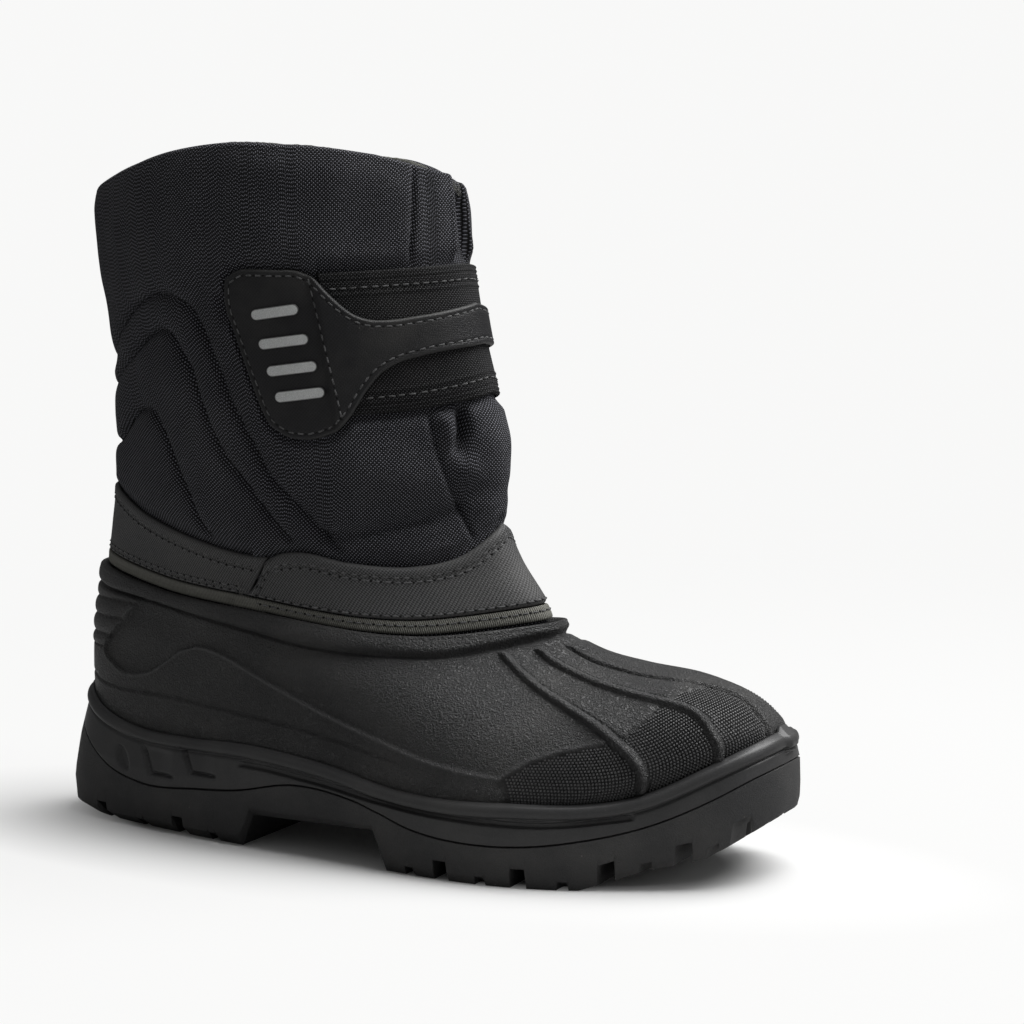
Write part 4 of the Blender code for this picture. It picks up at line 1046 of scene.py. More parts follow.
# %% Relief of the fabric
def across_line(side, z, table):
    """Signed distance to a line that climbs the shaft, positive towards the front."""
    table = np.array(sorted(table, key=lambda row: row[1]))
    return (side - np.interp(z, table[:, 1], table[:, 0])) * GIRTH


def swelling(side, z, rise, place, height, half_wide, half_high):
    """A soft swelling, or a hollow where rise is below 0, about one place of the shaft."""
    return rise * np.exp(-(((side - place) * GIRTH / half_wide)**2 + ((z - height) / half_high)**2))


def collar_raise(u, z):
    """How far the fabric stands above the solid's, near the collar of the gusset."""
    return edge_at(COLLAR_RAISE, u % 1.0) * smooth((z - RAISE_FROM) / 0.030)


def gusset_relief(side, z, points):
    """Fold and strip above the strap; lap, pocket and swellings below it."""
    beyond = across_line(side, z, FOLD_ABOVE)
    height = smooth((z - STRIP_RANGE[0]) / 0.004) * smooth((STRIP_RANGE[1] - z) / 0.005)
    fold = 0.0007 * soft_line(beyond + 0.0016, 0.0014)
    relief = (fold - STRIP_DEPTH * smooth(beyond / 0.0012 + 0.5)) * height
    relief -= 0.0010 * soft_line(beyond + 0.0130, 0.0050) * height
    past = across_line(side, z, SEAM_BELOW)
    lap = smooth(past / 0.0012 + 0.3) * smooth((0.014 - past) / 0.014)
    relief -= LAP_DEPTH * lap * smooth((0.180 - z) / 0.004)
    valley = nearest(points, on_both(SHAFT, VALLEY), 0.03)
    relief -= POCKET_DEPTH * soft_line(valley, 0.0024) * smooth((z - 0.150) / 0.014)
    return relief + sum(swelling(side, z, *row) for row in SWELLINGS)


def wadding(side, z):
    """Slow waves of the wadding."""
    wave = np.sin(side * 61 + z * 90) * np.sin(z * 160 - side * 23 + 1.0)
    return WAVE_RISE * (wave + 0.6 * np.sin(side * 130 - z * 210 + 2.0) * np.sin(z * 120 + 0.5))


def shaft_relief(u, points):
    """Quilting, gusset and soft folds of the fabric; pressed flat under other layers."""
    side = fold_over(u)
    z = points[..., 2]
    seams = nearest(points, [line for table in QUILTS for line in on_both(SHAFT, table)], 0.03)
    creases = nearest(points, on_both(SHAFT, SOFT_CREASE), 0.03)
    gusset = nearest(points, on_both(SHAFT, SEAM_ABOVE) + on_both(SHAFT, SEAM_BELOW), 0.03)
    relief = QUILT_RISE * (1 - soft_line(seams, 0.0045, 1.0) - soft_line(seams, 0.0011, 1.2))
    relief -= CREASE_DEPTH * soft_line(creases, 0.0028)
    relief -= GUSSET_SEAM_DEPTH * soft_line(gusset, 0.0009, 1.3)
    relief += gusset_relief(side, z, points) + wadding(side, z)
    under = smooth(1 - free_of_layers(side, z) / 0.006)
    return relief * (1 - under) - 0.0002 * under


# %% Shaft fabric
def fabric_skin():
    """The fabric from inside the shell up to the collar, over it and down inside."""
    u = np.arange(SHAFT_COLUMNS) / SHAFT_COLUMNS
    height = SHAFT.read(SHAFT.points, u, 1.0)[:, 2]
    t_high = SHAFT.t_at(u, height - FABRIC_ROUND)
    t = SHAFT_START + (t_high - SHAFT_START) * np.linspace(0.0, 1.0, SHAFT_ROWS)[:, None]
    wide = np.broadcast_to(u, t.shape)
    bare = SHAFT.at(wide, t)
    z = bare[..., 2]
    near_top = smooth((z - (height - 0.010)) / 0.010)
    turned_in = 0.0009 * np.clip((z - (height - 0.004)) / 0.004, 0, 1)**2
    lift = shaft_relief(wide, bare) * (1 - 0.6 * near_top) - turned_in
    outside = SHAFT.at(wide, t, lift)
    outside[..., 2] += collar_raise(wide, z)
    normal = SHAFT.normals(u, t_high)
    foot = SHAFT.at(u, t_high)
    foot[:, 2] += collar_raise(u, height)
    rows = [outside]
    for angle in np.linspace(0.0, np.pi, ROLL_STEPS)[1:]:
        points = foot + normal * (lift[-1][:, None] - FABRIC_ROUND + FABRIC_ROUND * np.cos(angle))
        points[:, 2] += FABRIC_ROUND * np.sin(angle)
        rows.append(points[None])
    for part in np.linspace(0.96, 0.0, INNER_ROWS):
        points = SHAFT.at(u, SHAFT_START + (t_high - SHAFT_START) * part, np.full_like(u, -SHAFT_WALL))
        points[:, 2] += collar_raise(u, points[:, 2])
        rows.append(points[None])
    return u, np.concatenate(rows)


u_shaft, grid = fabric_skin()
shaft = tube_piece("shaft_fabric", SHAFT, u_shaft, grid)
print("shaft faces:", len(shaft.data.polygons))

# %% [markdown]
# ## The pile lining
#
# Inside, a deep pile lining keeps the leg warm. It stands a little above the fabric's
# edge, and from outside only this olive line shows at the far side of the collar.

# %% Lining
LINING_THICK = 0.0020
PILE = 0.0007
LINING_COLUMNS = 420
rng = np.random.default_rng(11)


def lining_skin():
    """The pile's face up the inside, over its edge and down behind, with rough fibres."""
    u = np.arange(LINING_COLUMNS) / LINING_COLUMNS
    height = SHAFT.read(SHAFT.points, u, 1.0)[:, 2]
    t_top = SHAFT.t_at(u, height - 0.001)
    rows = []
    for share in np.linspace(0.05, 1.0, 60):
        rough = 0.9 * PILE * rng.random(len(u))
        rows.append(SHAFT.at(u, t_top * share, -SHAFT_WALL - LINING_THICK + rough))
    for angle in np.linspace(0.15, np.pi - 0.1, 8):
        points = SHAFT.at(u, t_top, -SHAFT_WALL - LINING_THICK / 2 * (1 + np.cos(angle)) + 0.0008)
        points[:, 2] += 0.0010 * np.sin(angle) + 0.6 * PILE * rng.random(len(u))
        rows.append(points)
    for share in np.linspace(0.98, 0.05, 24):
        rows.append(SHAFT.at(u, t_top * share, np.full_like(u, -SHAFT_WALL - 0.0001)))
    rows = np.array(rows)[::-1]
    rows[..., 2] += collar_raise(np.broadcast_to(u, rows.shape[:2]), rows[..., 2])
    return u, rows


u_lining, grid = lining_skin()
lining = tube_piece("pile_lining", SHAFT, u_lining, grid)
print("lining faces:", len(lining.data.polygons))

# %% [markdown]
# ## Sewn-on layers
#
# Two coated bands close the shaft above the rim, an elastic webbing strap crosses the
# front, and a coated overlay with four grey bars covers its tab. All are flat goods laid
# over the shaft, so one function makes them: a grid between two edges, with a lift that
# rounds off at the rim. Their thickness and place are those of the CAD model.

# %% A layer over the shaft
RIM_STEPS = (0.0, 0.00025, 0.0006, 0.0011, 0.0018)


def close_ends(length, count, edge=0.0, fine=0.00045):
    """Shares from 0 to 1: close steps at both ends, fine ones up to edge, count between."""
    steps = np.array(RIM_STEPS)
    steps = np.concatenate([steps, np.arange(steps[-1] + fine, edge, fine)]) / length
    inner = np.linspace(steps[-1], 1 - steps[-1], count + 2)[1:-1]
    return np.concatenate([steps, inner, 1 - steps[::-1]])


def layer(name, u, z, under, thick, round_over, relief=None):
    """Closed thin piece over the shaft from grids of place and height."""
    t = SHAFT.t_at(u, z)
    under = np.broadcast_to(under, t.shape)
    base = SHAFT.at(u, t, under)
    # The lift falls to nothing at the rim, which rounds the cut edge
    rim = np.concatenate([base[0], base[1:, -1], base[-1, -2::-1], base[-2::-1, 0]])
    away = distance(base, rim, reach=0.03)
    away[[0, -1]] = 0.0
    away[:, [0, -1]] = 0.0
    rise = np.sqrt(1 - (1 - np.clip(away / round_over, 0, 1))**2) * thick
    if relief is not None:
        rise = rise + relief(u, z, away) * np.clip(away / round_over, 0, 1)
    outside = SHAFT.at(u, t, under + rise)
    rows, columns = t.shape
    index = np.arange(rows * columns).reshape(rows, columns)
    inner = index.copy()
    inner[1:-1, 1:-1] = np.arange((rows - 2) * (columns - 2)).reshape(rows - 2, -1) + index.size
    vertices = np.concatenate([outside.reshape(-1, 3), base[1:-1, 1:-1].reshape(-1, 3)])
    faces = np.concatenate([quads(index), quads(inner)[:, ::-1]])
    chart = np.stack([u * GIRTH, z], axis=-1).reshape(-1, 2)
    places = np.concatenate([quads(index), quads(index)[:, ::-1]])
    marks = np.concatenate([away.ravel(), np.zeros((rows - 2) * (columns - 2))])
    return build(name, vertices, faces, chart, places, {"rim": marks})


# %% Bands
RIM_GAP = 0.0003
GAP = 0.0003
BAND_GAP = 0.0006
BAND_THICK = 0.0013
VAMP_THICK = 0.0021
BINDING_HEIGHT = 0.0050
BINDING_THICK = 0.0022
VAMP_END_LOW = 0.228
VAMP_END_HIGH = 0.262
BAND_TUCK = 0.0045
BAND_COLUMNS = 420
LIP = 0.0046
LIP_RISE = 0.0003
LIP_DIP = 0.00025


def band_edges(u, table):
    """Lower and upper edge of a band at the places u."""
    return rim_height(u) + RIM_GAP + BINDING_HEIGHT + GAP, column_of(table, 1, fold_over(u)) * HEIGHT


def band(name, end_low, end_high, table, thick):
    """A coated band; its ends slant from end_low to end_high."""
    across = close_ends(0.020, 18)[:, None]
    along = close_ends((end_low[1] - end_low[0]) * GIRTH, BAND_COLUMNS)[None, :]
    low_u = end_low[0] + (end_low[1] - end_low[0]) * along
    high_u = end_high[0] + (end_high[1] - end_high[0]) * along
    u = low_u + (high_u - low_u) * across
    low, high = band_edges(u, table)
    z = low + (high - low) * across

    def lip_relief(u, z, away):
        past = band_edges(u, table)[1] - z - LIP
        return LIP_RISE * smooth(-past / 0.0008) - LIP_DIP * soft_line(past - 0.0004, 0.0005)

    return layer(name, u, z, BAND_GAP, thick, 0.9 * thick, lip_relief)


heel_band = band("heel_band_skin", (-VAMP_END_LOW - BAND_TUCK, VAMP_END_LOW + BAND_TUCK),
                 (-VAMP_END_HIGH - BAND_TUCK, VAMP_END_HIGH + BAND_TUCK),
                 HEEL_BAND_TOP, BAND_THICK)
vamp_band = band("vamp_band_skin", (VAMP_END_LOW, 1 - VAMP_END_LOW),
                 (VAMP_END_HIGH, 1 - VAMP_END_HIGH), VAMP_BAND_TOP, VAMP_THICK)
print("band faces:", len(heel_band.data.polygons), len(vamp_band.data.polygons))

# %% Binding tape round the rim
TAPE_JOINT = (0.214, 0.243)
TAPE_LAP = 0.0005
TAPE_COLUMNS = 560
TAPE_PROFILE = ((0.0, 0.0), (0.0, 0.5), (0.03, 0.8), (0.10, 0.97), (0.25, 1.0), (0.46, 0.98),
                (0.50, 0.93), (0.54, 0.98), (0.75, 1.0), (0.90, 0.97), (0.97, 0.8), (1.0, 0.5),
                (1.0, 0.0), (0.5, 0.0))


def tape_skin():
    """Rows across the tape: a flat ribbon with a soft middle dent, double at its joint."""
    u = np.arange(TAPE_COLUMNS) / TAPE_COLUMNS
    low = rim_height(u) + RIM_GAP
    start, end = TAPE_JOINT
    double = smooth((u - start) / 0.0012) * smooth((end - u) / 0.0012)
    rows = []
    for up, out in TAPE_PROFILE:
        t = SHAFT.t_at(u, low + BINDING_HEIGHT * up)
        lift = BAND_GAP + (BINDING_THICK - BAND_GAP) * out + TAPE_LAP * double * (out > 0.4)
        rows.append(SHAFT.at(u, t, lift))
    return u, np.array(rows)


u_tape, grid = tape_skin()
tape = tube_piece("binding_tape", SHAFT, u_tape, grid)

# %% Webbing
STRAP_GAP = 0.0006
WEBBING_THICK = 0.0017
RIDGE_PITCH = 0.0017
RIDGE_ZONE = 0.0053
RIDGE_DEPTH = 0.00045
THIN_CORD = 0.0085
WEB_START = 0.350
WEB_WIDTH = 0.052


def web_edges(u):
    """Lower and upper edge of the webbing."""
    side = fold_over(u)
    return column_of(WEBBING, 1, side) * HEIGHT, column_of(WEBBING, 2, side) * HEIGHT


def webbing_relief(u, z, away):
    """Three cords along each edge, and a thin one further in."""
    low, high = web_edges(u)
    edge = np.minimum(z - low, high - z)
    wave = 0.5 + 0.5 * np.cos(2 * np.pi * edge / RIDGE_PITCH)
    cords = RIDGE_DEPTH * wave * smooth((RIDGE_ZONE - edge) / 0.0006)
    inner = 0.0003 * smooth((edge - RIDGE_ZONE) / 0.0005)
    return 0.0004 * soft_line(edge - THIN_CORD, 0.0005) - cords - inner


along = close_ends((1 - 2 * WEB_START) * GIRTH, 150)[None, :]
across = close_ends(WEB_WIDTH, 14, edge=0.0100)[:, None]
u = WEB_START + (1 - 2 * WEB_START) * along + 0 * across
low, high = web_edges(u)
webbing = layer("strap_webbing", u, low + (high - low) * across, STRAP_GAP, WEBBING_THICK, 0.0012,
                webbing_relief)
print("webbing faces:", len(webbing.data.polygons))

# %% Overlay with its tab
OVERLAY_GAP = 0.0005
OVERLAY_THICK = 0.0016
OVERLAY_STEP = (0.340, 0.349)
BEVEL = 0.0011
TAB_HEIGHT = 0.060


def overlay_under(u):
    """Underside of the overlay: on the shaft at its tabs, on the webbing between."""
    rise = smooth((fold_over(u) - OVERLAY_STEP[0]) / (OVERLAY_STEP[1] - OVERLAY_STEP[0]))
    return STRAP_GAP + (WEBBING_THICK + OVERLAY_GAP) * rise


def overlay_edges(u):
    """Lower and upper edge of the overlay; its rounded ends close at their first row."""
    side = fold_over(u)
    low = np.minimum(column_of(OVERLAY, 1, side), OVERLAY[0][1])
    return low * HEIGHT, column_of(OVERLAY, 2, side) * HEIGHT


def overlay_relief(u, z, away):
    """A pressed line just inside the cut edge."""
    return -0.00022 * soft_line(away - 0.0024, 0.0005)


half = np.concatenate([OVERLAY[0][0] + 0.030 * np.linspace(0, 1, 46)**2,
                       np.linspace(0.287, 0.410, 96), np.linspace(0.412, 0.500, 28)])
across = close_ends(TAB_HEIGHT, 34, edge=0.0040)[:, None]
u = np.concatenate([half, 1.0 - half[-2::-1]])[None, :] + 0 * across
low, high = overlay_edges(u)
overlay = layer("strap_overlay_skin", u, low + (high - low) * across, overlay_under(u), OVERLAY_THICK,
                BEVEL, overlay_relief)
print("overlay faces:", len(overlay.data.polygons))

# %% Grey bars
BARS = ((0.2830, 0.3290, 0.7550, 0.7640), (0.2855, 0.3335, 0.7150, 0.7235),
        (0.2890, 0.3370, 0.6780, 0.6865), (0.2930, 0.3400, 0.6425, 0.6510))
BAR_HALF = 0.0022
BAR_THICK = 0.0007
BAR_ROUND = 0.0005
BAR_GRID = (60, 19)
bars = []
for number, (start, end, z_start, z_end) in enumerate(BARS, 1):
    share = (1 - np.cos(np.linspace(0.0, np.pi, BAR_GRID[0]))) / 2
    reach = BAR_HALF / ((end - start) * GIRTH)
    near = np.clip(np.minimum(share, 1 - share) / reach, 0, 1)
    half = BAR_HALF * np.sqrt(np.maximum(1 - (1 - near)**2, 0.004))
    across = np.linspace(-1, 1, BAR_GRID[1])[:, None]
    z = (z_start + (z_end - z_start) * share) * HEIGHT + half * across
    u = start + (end - start) * share + 0 * across
    bars.append(layer(f"grey_bar_{number}", u, z, STRAP_GAP + OVERLAY_THICK + GAP, BAR_THICK, BAR_ROUND))
print("bars:", len(bars))

# %% [markdown]
# ## Stitches
#
# Thick thread, lockstitched: each stitch is a short rounded thread that dips at both
# ends into a pinhole. One template is copied along each seam line at its real pitch, with
# a little seeded change in place and direction, as a sewing machine leaves it.

# %% Stitch templates
PITCH = 0.0040
QUILT_PITCH = 0.0034
THREAD = 0.00030
QUILT_THREAD = 0.00020
STITCH_SHARE = 0.74
THREAD_RINGS = 7
THREAD_SIDES = 6
HOLE_SIDES = 8
HOLE_DEPTH = 0.0006
rng = np.random.default_rng(7)


def thread_template(length, thick):
    """A short bowed thread along X: rings of points, and their faces."""
    rings = []
    angle = np.linspace(0, 2 * np.pi, THREAD_SIDES, endpoint=False)
    for share in np.linspace(-1.0, 1.0, THREAD_RINGS):
        radius = thick * np.sqrt(max(1 - share**4 * 0.8, 0.05))
        dip = -2.2 * thick * share**4
        rings.append(np.column_stack([np.full(THREAD_SIDES, share * length / 2), radius * np.cos(angle),
                                      radius * np.sin(angle) * 0.8 + dip]))
    index = wrapped(THREAD_RINGS, THREAD_SIDES)
    first, last = index[0], index[-1]
    caps = [(first[k + 1], first[k], first[0], first[0]) for k in range(1, THREAD_SIDES - 1)]
    caps += [(last[k], last[k + 1], last[0], last[0]) for k in range(1, THREAD_SIDES - 1)]
    return np.concatenate(rings), np.concatenate([quads(index), np.array(caps)])


def hole_template(radius):
    """A small plug with its rim at the cloth's surface; its near-black finish paints the shade inside a
    pinhole.
    """
    angle = np.linspace(0, 2 * np.pi, HOLE_SIDES, endpoint=False)
    rim = np.column_stack([radius * np.cos(angle), radius * np.sin(angle) * 0.8, np.zeros(HOLE_SIDES)])
    low = rim * 0.9 - (0, 0, HOLE_DEPTH)
    index = wrapped(2, HOLE_SIDES)
    under, over = index
    lids = [(over[0], over[k], over[k + 1], over[k + 1]) for k in range(1, HOLE_SIDES - 1)]
    lids += [(under[0], under[k + 1], under[k], under[k]) for k in range(1, HOLE_SIDES - 1)]
    return np.concatenate([low, rim]), np.concatenate([quads(index), np.array(lids)])


threads = []
holes = []


def sew(u, z, lift, pitch=PITCH, thick=THREAD, holed=True):
    """Stitches along a line over the shaft; lift is the surface's height there."""
    t = SHAFT.t_at(u, z)
    line = SHAFT.at(u, t, np.broadcast_to(lift, u.shape))
    travel = travelled(line)
    count = int(travel[-1] / pitch)
    step = travel[-1] / count
    at = (np.arange(count) + 0.5) * step
    at = at + rng.normal(0, 0.05 * pitch, count)

    def where(at):
        return np.stack([np.interp(at, travel, line[:, k]) for k in range(3)], axis=-1)

    along = where(at + 0.0006) - where(at - 0.0006)
    along = along / np.linalg.norm(along, axis=1, keepdims=True)
    up = SHAFT.normals(np.interp(at, travel, u), np.interp(at, travel, t))
    turned = along + np.cross(up, along) * rng.normal(0.04, 0.05, count)[:, None]
    template, faces = thread_template(STITCH_SHARE * pitch, thick)
    threads.append(placed(template, faces, where(at) + up * thick * 0.55, turned, up))
    if holed:
        template, faces = hole_template(thick * 1.8)
        holes.append(placed(template, faces, where(at + 0.5 * step) + up * 0.00008, along, up))


def joined(parts):
    """One list of points and faces from many."""
    offset = np.cumsum([0] + [len(vertices) for vertices, _ in parts[:-1]])
    return (np.concatenate([vertices for vertices, _ in parts]),
            np.concatenate([faces + shift for (_, faces), shift in zip(parts, offset)]))


# %% Seams of the bands and the tape
EDGE_ROWS = (0.0041, 0.0060)
HEEL_FOOT_ROWS = (0.0012, 0.0031)
VAMP_FOOT_ROWS = (0.0012,)
END_ROWS = (0.0026, 0.0050)
HEEL_SEWN = 0.245
VAMP_SEWN = 0.272
HEEL_FOOT_SEWN = 0.222
FOOT_SEWN = 0.236
FOOT_LINE = RIM_GAP + BINDING_HEIGHT + GAP
for table, ends, thick in ((HEEL_BAND_TOP, (-HEEL_SEWN, HEEL_SEWN), BAND_THICK),
                           (VAMP_BAND_TOP, (VAMP_SEWN, 1 - VAMP_SEWN), VAMP_THICK)):
    u = np.linspace(*ends, 500)
    top = band_edges(u, table)[1]
    for row in EDGE_ROWS:
        sew(u, top - row, BAND_GAP + thick)
for ends, thick, rows in (((-HEEL_FOOT_SEWN, HEEL_FOOT_SEWN), BAND_THICK, HEEL_FOOT_ROWS),
                          ((FOOT_SEWN, 1 - FOOT_SEWN), VAMP_THICK, VAMP_FOOT_ROWS)):
    u = np.linspace(*ends, 500)
    for row in rows:
        sew(u, rim_height(u) + FOOT_LINE + row, BAND_GAP + thick)
share = np.linspace(0.08, 0.92, 40)
for mirror in (False, True):
    for inset in END_ROWS:
        u = VAMP_END_LOW + (VAMP_END_HIGH - VAMP_END_LOW) * share + inset / GIRTH
        low, high = band_edges(u, VAMP_BAND_TOP)
        sew(1 - u if mirror else u, low + (high - low) * share, BAND_GAP + VAMP_THICK)
u = np.linspace(FOOT_SEWN, 1 - FOOT_SEWN, 480)
sew(u, rim_height(u) + RIM_GAP + 0.60 * BINDING_HEIGHT, BINDING_THICK)

# %% Seams of the strap and its overlay
OVERLAY_INSET = 0.0024
WEB_INSET = 0.0062
TAB_SEAM = ((0.167, 0.352), (0.223, 0.342))
TAB_SEAM_END = 0.169


def inset_outline(inset):
    """The overlay's outline moved inward, as places and heights."""
    half = np.concatenate([OVERLAY[0][0] + 0.03 * np.linspace(0, 1, 80)**2, np.linspace(0.287, 0.5, 260)])
    low, high = overlay_edges(half)
    line = np.column_stack([np.concatenate([half[::-1], half]) * GIRTH, np.concatenate([low[::-1], high])])
    for _ in range(12):
        line[1:-1] = (line[:-2] + 2 * line[1:-1] + line[2:]) / 4
    run = np.gradient(line, axis=0)
    run /= np.linalg.norm(run, axis=1, keepdims=True) + 1e-12
    moved = line + np.column_stack([run[:, 1], -run[:, 0]]) * inset
    keep = np.min(np.linalg.norm(moved[:, None] - line[None], axis=2), axis=1) > 0.97 * inset
    return moved[keep, 0] / GIRTH, moved[keep, 1]


outline_u, outline_z = inset_outline(OVERLAY_INSET)
for u in (outline_u, 1 - outline_u):
    sew(u, outline_z, overlay_under(u) + OVERLAY_THICK - 0.0002)
half = np.linspace(0.352, 0.4985, 160)
low, high = web_edges(half)
over_low, over_high = overlay_edges(half)
seam_z = np.linspace(TAB_SEAM[1][0], TAB_SEAM_END, 40)
seam_u = edge_at(TAB_SEAM, seam_z)
for mirror in (False, True):
    u = 1 - half if mirror else half
    for row, shown in ((low + WEB_INSET, low + WEB_INSET < over_low - 0.001),
                       (high - WEB_INSET, high - WEB_INSET > over_high + 0.001)):
        sew(u[shown], row[shown], STRAP_GAP + WEBBING_THICK - 0.0002)
    sew(1 - seam_u if mirror else seam_u, seam_z, overlay_under(seam_u) + OVERLAY_THICK)

# %% Quilting seams
for table in QUILTS:
    for rows in both_sides(table):
        points, u, _ = drawn(SHAFT, rows)
        z = points[:, 2]
        clear = free_of_layers(fold_over(u), z) > 0.004
        lift = shaft_relief(u, points)
        if clear.sum() > 8:
            sew(u[clear], z[clear], lift[clear] + 0.0001, QUILT_PITCH, QUILT_THREAD, holed=False)

# %% Frayed ends where the tape's ends and the gusset's strip meet
FRAY_THICK = 0.00012
FRAY_POINTS = 6
STRIP_END = ((0.4935, 0.5065), 0.2525)


def fray(u, z, lift, count, length, spread):
    """A tuft of fine curved threads, each a three-sided tube that thins to its tip."""
    share = np.linspace(0, 1, FRAY_POINTS)
    for _ in range(count):
        start = np.array([u + rng.normal(0, spread) / GIRTH, z + rng.normal(0, 0.3 * spread), lift])
        heading = rng.uniform(0, 2 * np.pi)
        reach = length * rng.uniform(0.5, 1.3)
        turn = heading + rng.normal(0, 1.2) * share
        a = start[0] + np.cumsum(np.cos(turn)) * reach / FRAY_POINTS / GIRTH
        h = start[1] + np.cumsum(np.sin(turn)) * reach / FRAY_POINTS
        out = start[2] + 0.0014 * share * rng.uniform(0.3, 1.2)
        t = SHAFT.t_at(a, h)
        line = SHAFT.at(a, t, out)
        line[:, 2] += collar_raise(a, h)
        up = SHAFT.normals(a, t)
        side = np.cross(up, np.gradient(line, axis=0))
        side /= np.linalg.norm(side, axis=1, keepdims=True)
        radius = FRAY_THICK * (1 - 0.7 * share)[:, None]
        ring = [line + radius * (side * np.cos(g) + up * np.sin(g)) for g in (0.0, 2.09, 4.19)]
        points = np.stack(ring, axis=1).reshape(-1, 3)
        last = len(points) - 1
        caps = np.array([(0, 2, 1, 1), (last - 2, last - 1, last, last)])
        frays.append((points, np.concatenate([quads(wrapped(FRAY_POINTS, 3)), caps])))


frays = []
tape_low = rim_height(np.array([TAPE_JOINT[0], FOOT_SEWN, TAPE_JOINT[1]])) + RIM_GAP
fray(TAPE_JOINT[0], tape_low[0] + 0.0010, BINDING_THICK, 10, 0.004, 0.0012)
fray(FOOT_SEWN, tape_low[1] + 0.0006, BINDING_THICK, 8, 0.007, 0.0030)
fray(TAPE_JOINT[1], tape_low[2] + 0.0004, BINDING_THICK, 7, 0.005, 0.0010)
fray(VAMP_END_LOW, tape_low[1] + 0.0080, BAND_GAP + VAMP_THICK, 6, 0.004, 0.0012)
for place in STRIP_END[0]:
    fray(place, STRIP_END[1], -0.0008, 40, 0.0024, 0.0011)
fray_mesh = from_faces("frayed_threads", *joined(frays))
thread_mesh = from_faces("stitches", *joined(threads))
hole_mesh = from_faces("pinholes", *joined(holes))
print("stitch and pinhole faces:", len(thread_mesh.data.polygons), len(hole_mesh.data.polygons))

# %% [markdown]
# ## Finishes
#
# Every material here is dark, so what the eye reads is texture: weave, mould grain,
# ribbing, a painted highlight along proud edges, dust. A few node groups make these once, each with plain
# inputs such as a pitch in metres, and each material then combines them with its own
# colour and sheen, and some with painted highlight and shade.

# %% Wiring helper
class Wiring:
    """Short calls for shader nodes in one tree."""

    def __init__(self, tree):
        self.tree = tree

    def node(self, kind, **settings):
        made = self.tree.nodes.new(kind)
        for key, value in settings.items():
            setattr(made, key, value)
        return made

    def feed(self, socket, value):
        if isinstance(value, bpy.types.NodeSocket):
            self.tree.links.new(value, socket)
        else:
            socket.default_value = value

    def maths(self, operation, *values, clamp=False):
        made = self.node("ShaderNodeMath", operation=operation, use_clamp=clamp)
        for socket, value in zip(made.inputs, values):
            self.feed(socket, value)
        return made.outputs[0]

    def span(self, value, low, high, to_low=0.0, to_high=1.0):
        made = self.node("ShaderNodeMapRange", clamp=True)
        for name, number in (("Value", value), ("From Min", low), ("From Max", high),
                             ("To Min", to_low), ("To Max", to_high)):
            self.feed(made.inputs[name], number)
        return made.outputs[0]

    def mix(self, share, low, high):
        made = self.node("ShaderNodeMix", data_type="RGBA")
        self.feed(made.inputs["Factor"], share)
        self.feed(made.inputs["A"], low)
        self.feed(made.inputs["B"], high)
        return made.outputs["Result"]

    def noise(self, where, scale, detail=2.0, roughness=0.5):
        made = self.node("ShaderNodeTexNoise")
        self.feed(made.inputs["Vector"], where)
        for name, number in (("Scale", scale), ("Detail", detail), ("Roughness", roughness)):
            self.feed(made.inputs[name], number)
        return made.outputs[0]

    def cells(self, where, scale):
        made = self.node("ShaderNodeTexVoronoi", feature="F1")
        self.feed(made.inputs["Vector"], where)
        self.feed(made.inputs["Scale"], scale)
        return made.outputs["Distance"]

    def use(self, tree, **values):
        made = self.node("ShaderNodeGroup", node_tree=tree)
        for name, value in values.items():
            self.feed(made.inputs[name], value)
        return made.outputs


def new_group(name, inputs, outputs):
    """An empty node group with named sockets, its wiring, its input and output nodes."""
    tree = bpy.data.node_groups.new(name, "ShaderNodeTree")
    for label, kind, value in inputs:
        socket = tree.interface.new_socket(name=label, in_out="INPUT", socket_type=kind)
        if value is not None:
            socket.default_value = value
    for label, kind in outputs:
        tree.interface.new_socket(name=label, in_out="OUTPUT", socket_type=kind)
    wiring = Wiring(tree)
    return tree, wiring, wiring.node("NodeGroupInput").outputs, wiring.node("NodeGroupOutput").inputs


FLOAT = "NodeSocketFloat"
VECTOR = "NodeSocketVector"


# %% Plain weave
def make_weave():
    """Threads over and under each other, from a sine along each way of the map."""
    tree, w, given, out = new_group(
        "Plain weave", [("Chart", VECTOR, None), ("Pitch", FLOAT, 0.001), ("Waver", FLOAT, 0.10)],
        [("Height", FLOAT), ("Thread", FLOAT), ("Tone", FLOAT)])
    split = w.node("ShaderNodeSeparateXYZ")
    w.feed(split.inputs[0], given["Chart"])
    waver = w.noise(given["Chart"], 320.0, 2.0)
    waver = w.maths("MULTIPLY", w.maths("SUBTRACT", waver, 0.5), given["Waver"])
    wave = []
    for axis in ("X", "Y"):
        place = w.maths("DIVIDE", split.outputs[axis], given["Pitch"])
        place = w.maths("ADD", place, w.maths("MULTIPLY", waver, 3.0))
        wave.append(w.maths("SINE", w.maths("MULTIPLY", place, float(np.pi))))
    product = w.maths("MULTIPLY", *wave)
    pillow = w.maths("POWER", w.maths("ABSOLUTE", product), 0.7)
    over = w.maths("GREATER_THAN", product, 0.0)
    strands = w.noise(given["Chart"], 6000.0, 1.0)
    w.feed(out["Height"], w.maths("MULTIPLY", pillow, w.span(strands, 0.2, 0.8, 0.85, 1.0)))
    w.feed(out["Thread"], w.span(pillow, 0.30, 0.90))
    w.feed(out["Tone"], w.maths("MULTIPLY", over, w.span(strands, 0.25, 0.75, 0.75, 1.0)))
    return tree


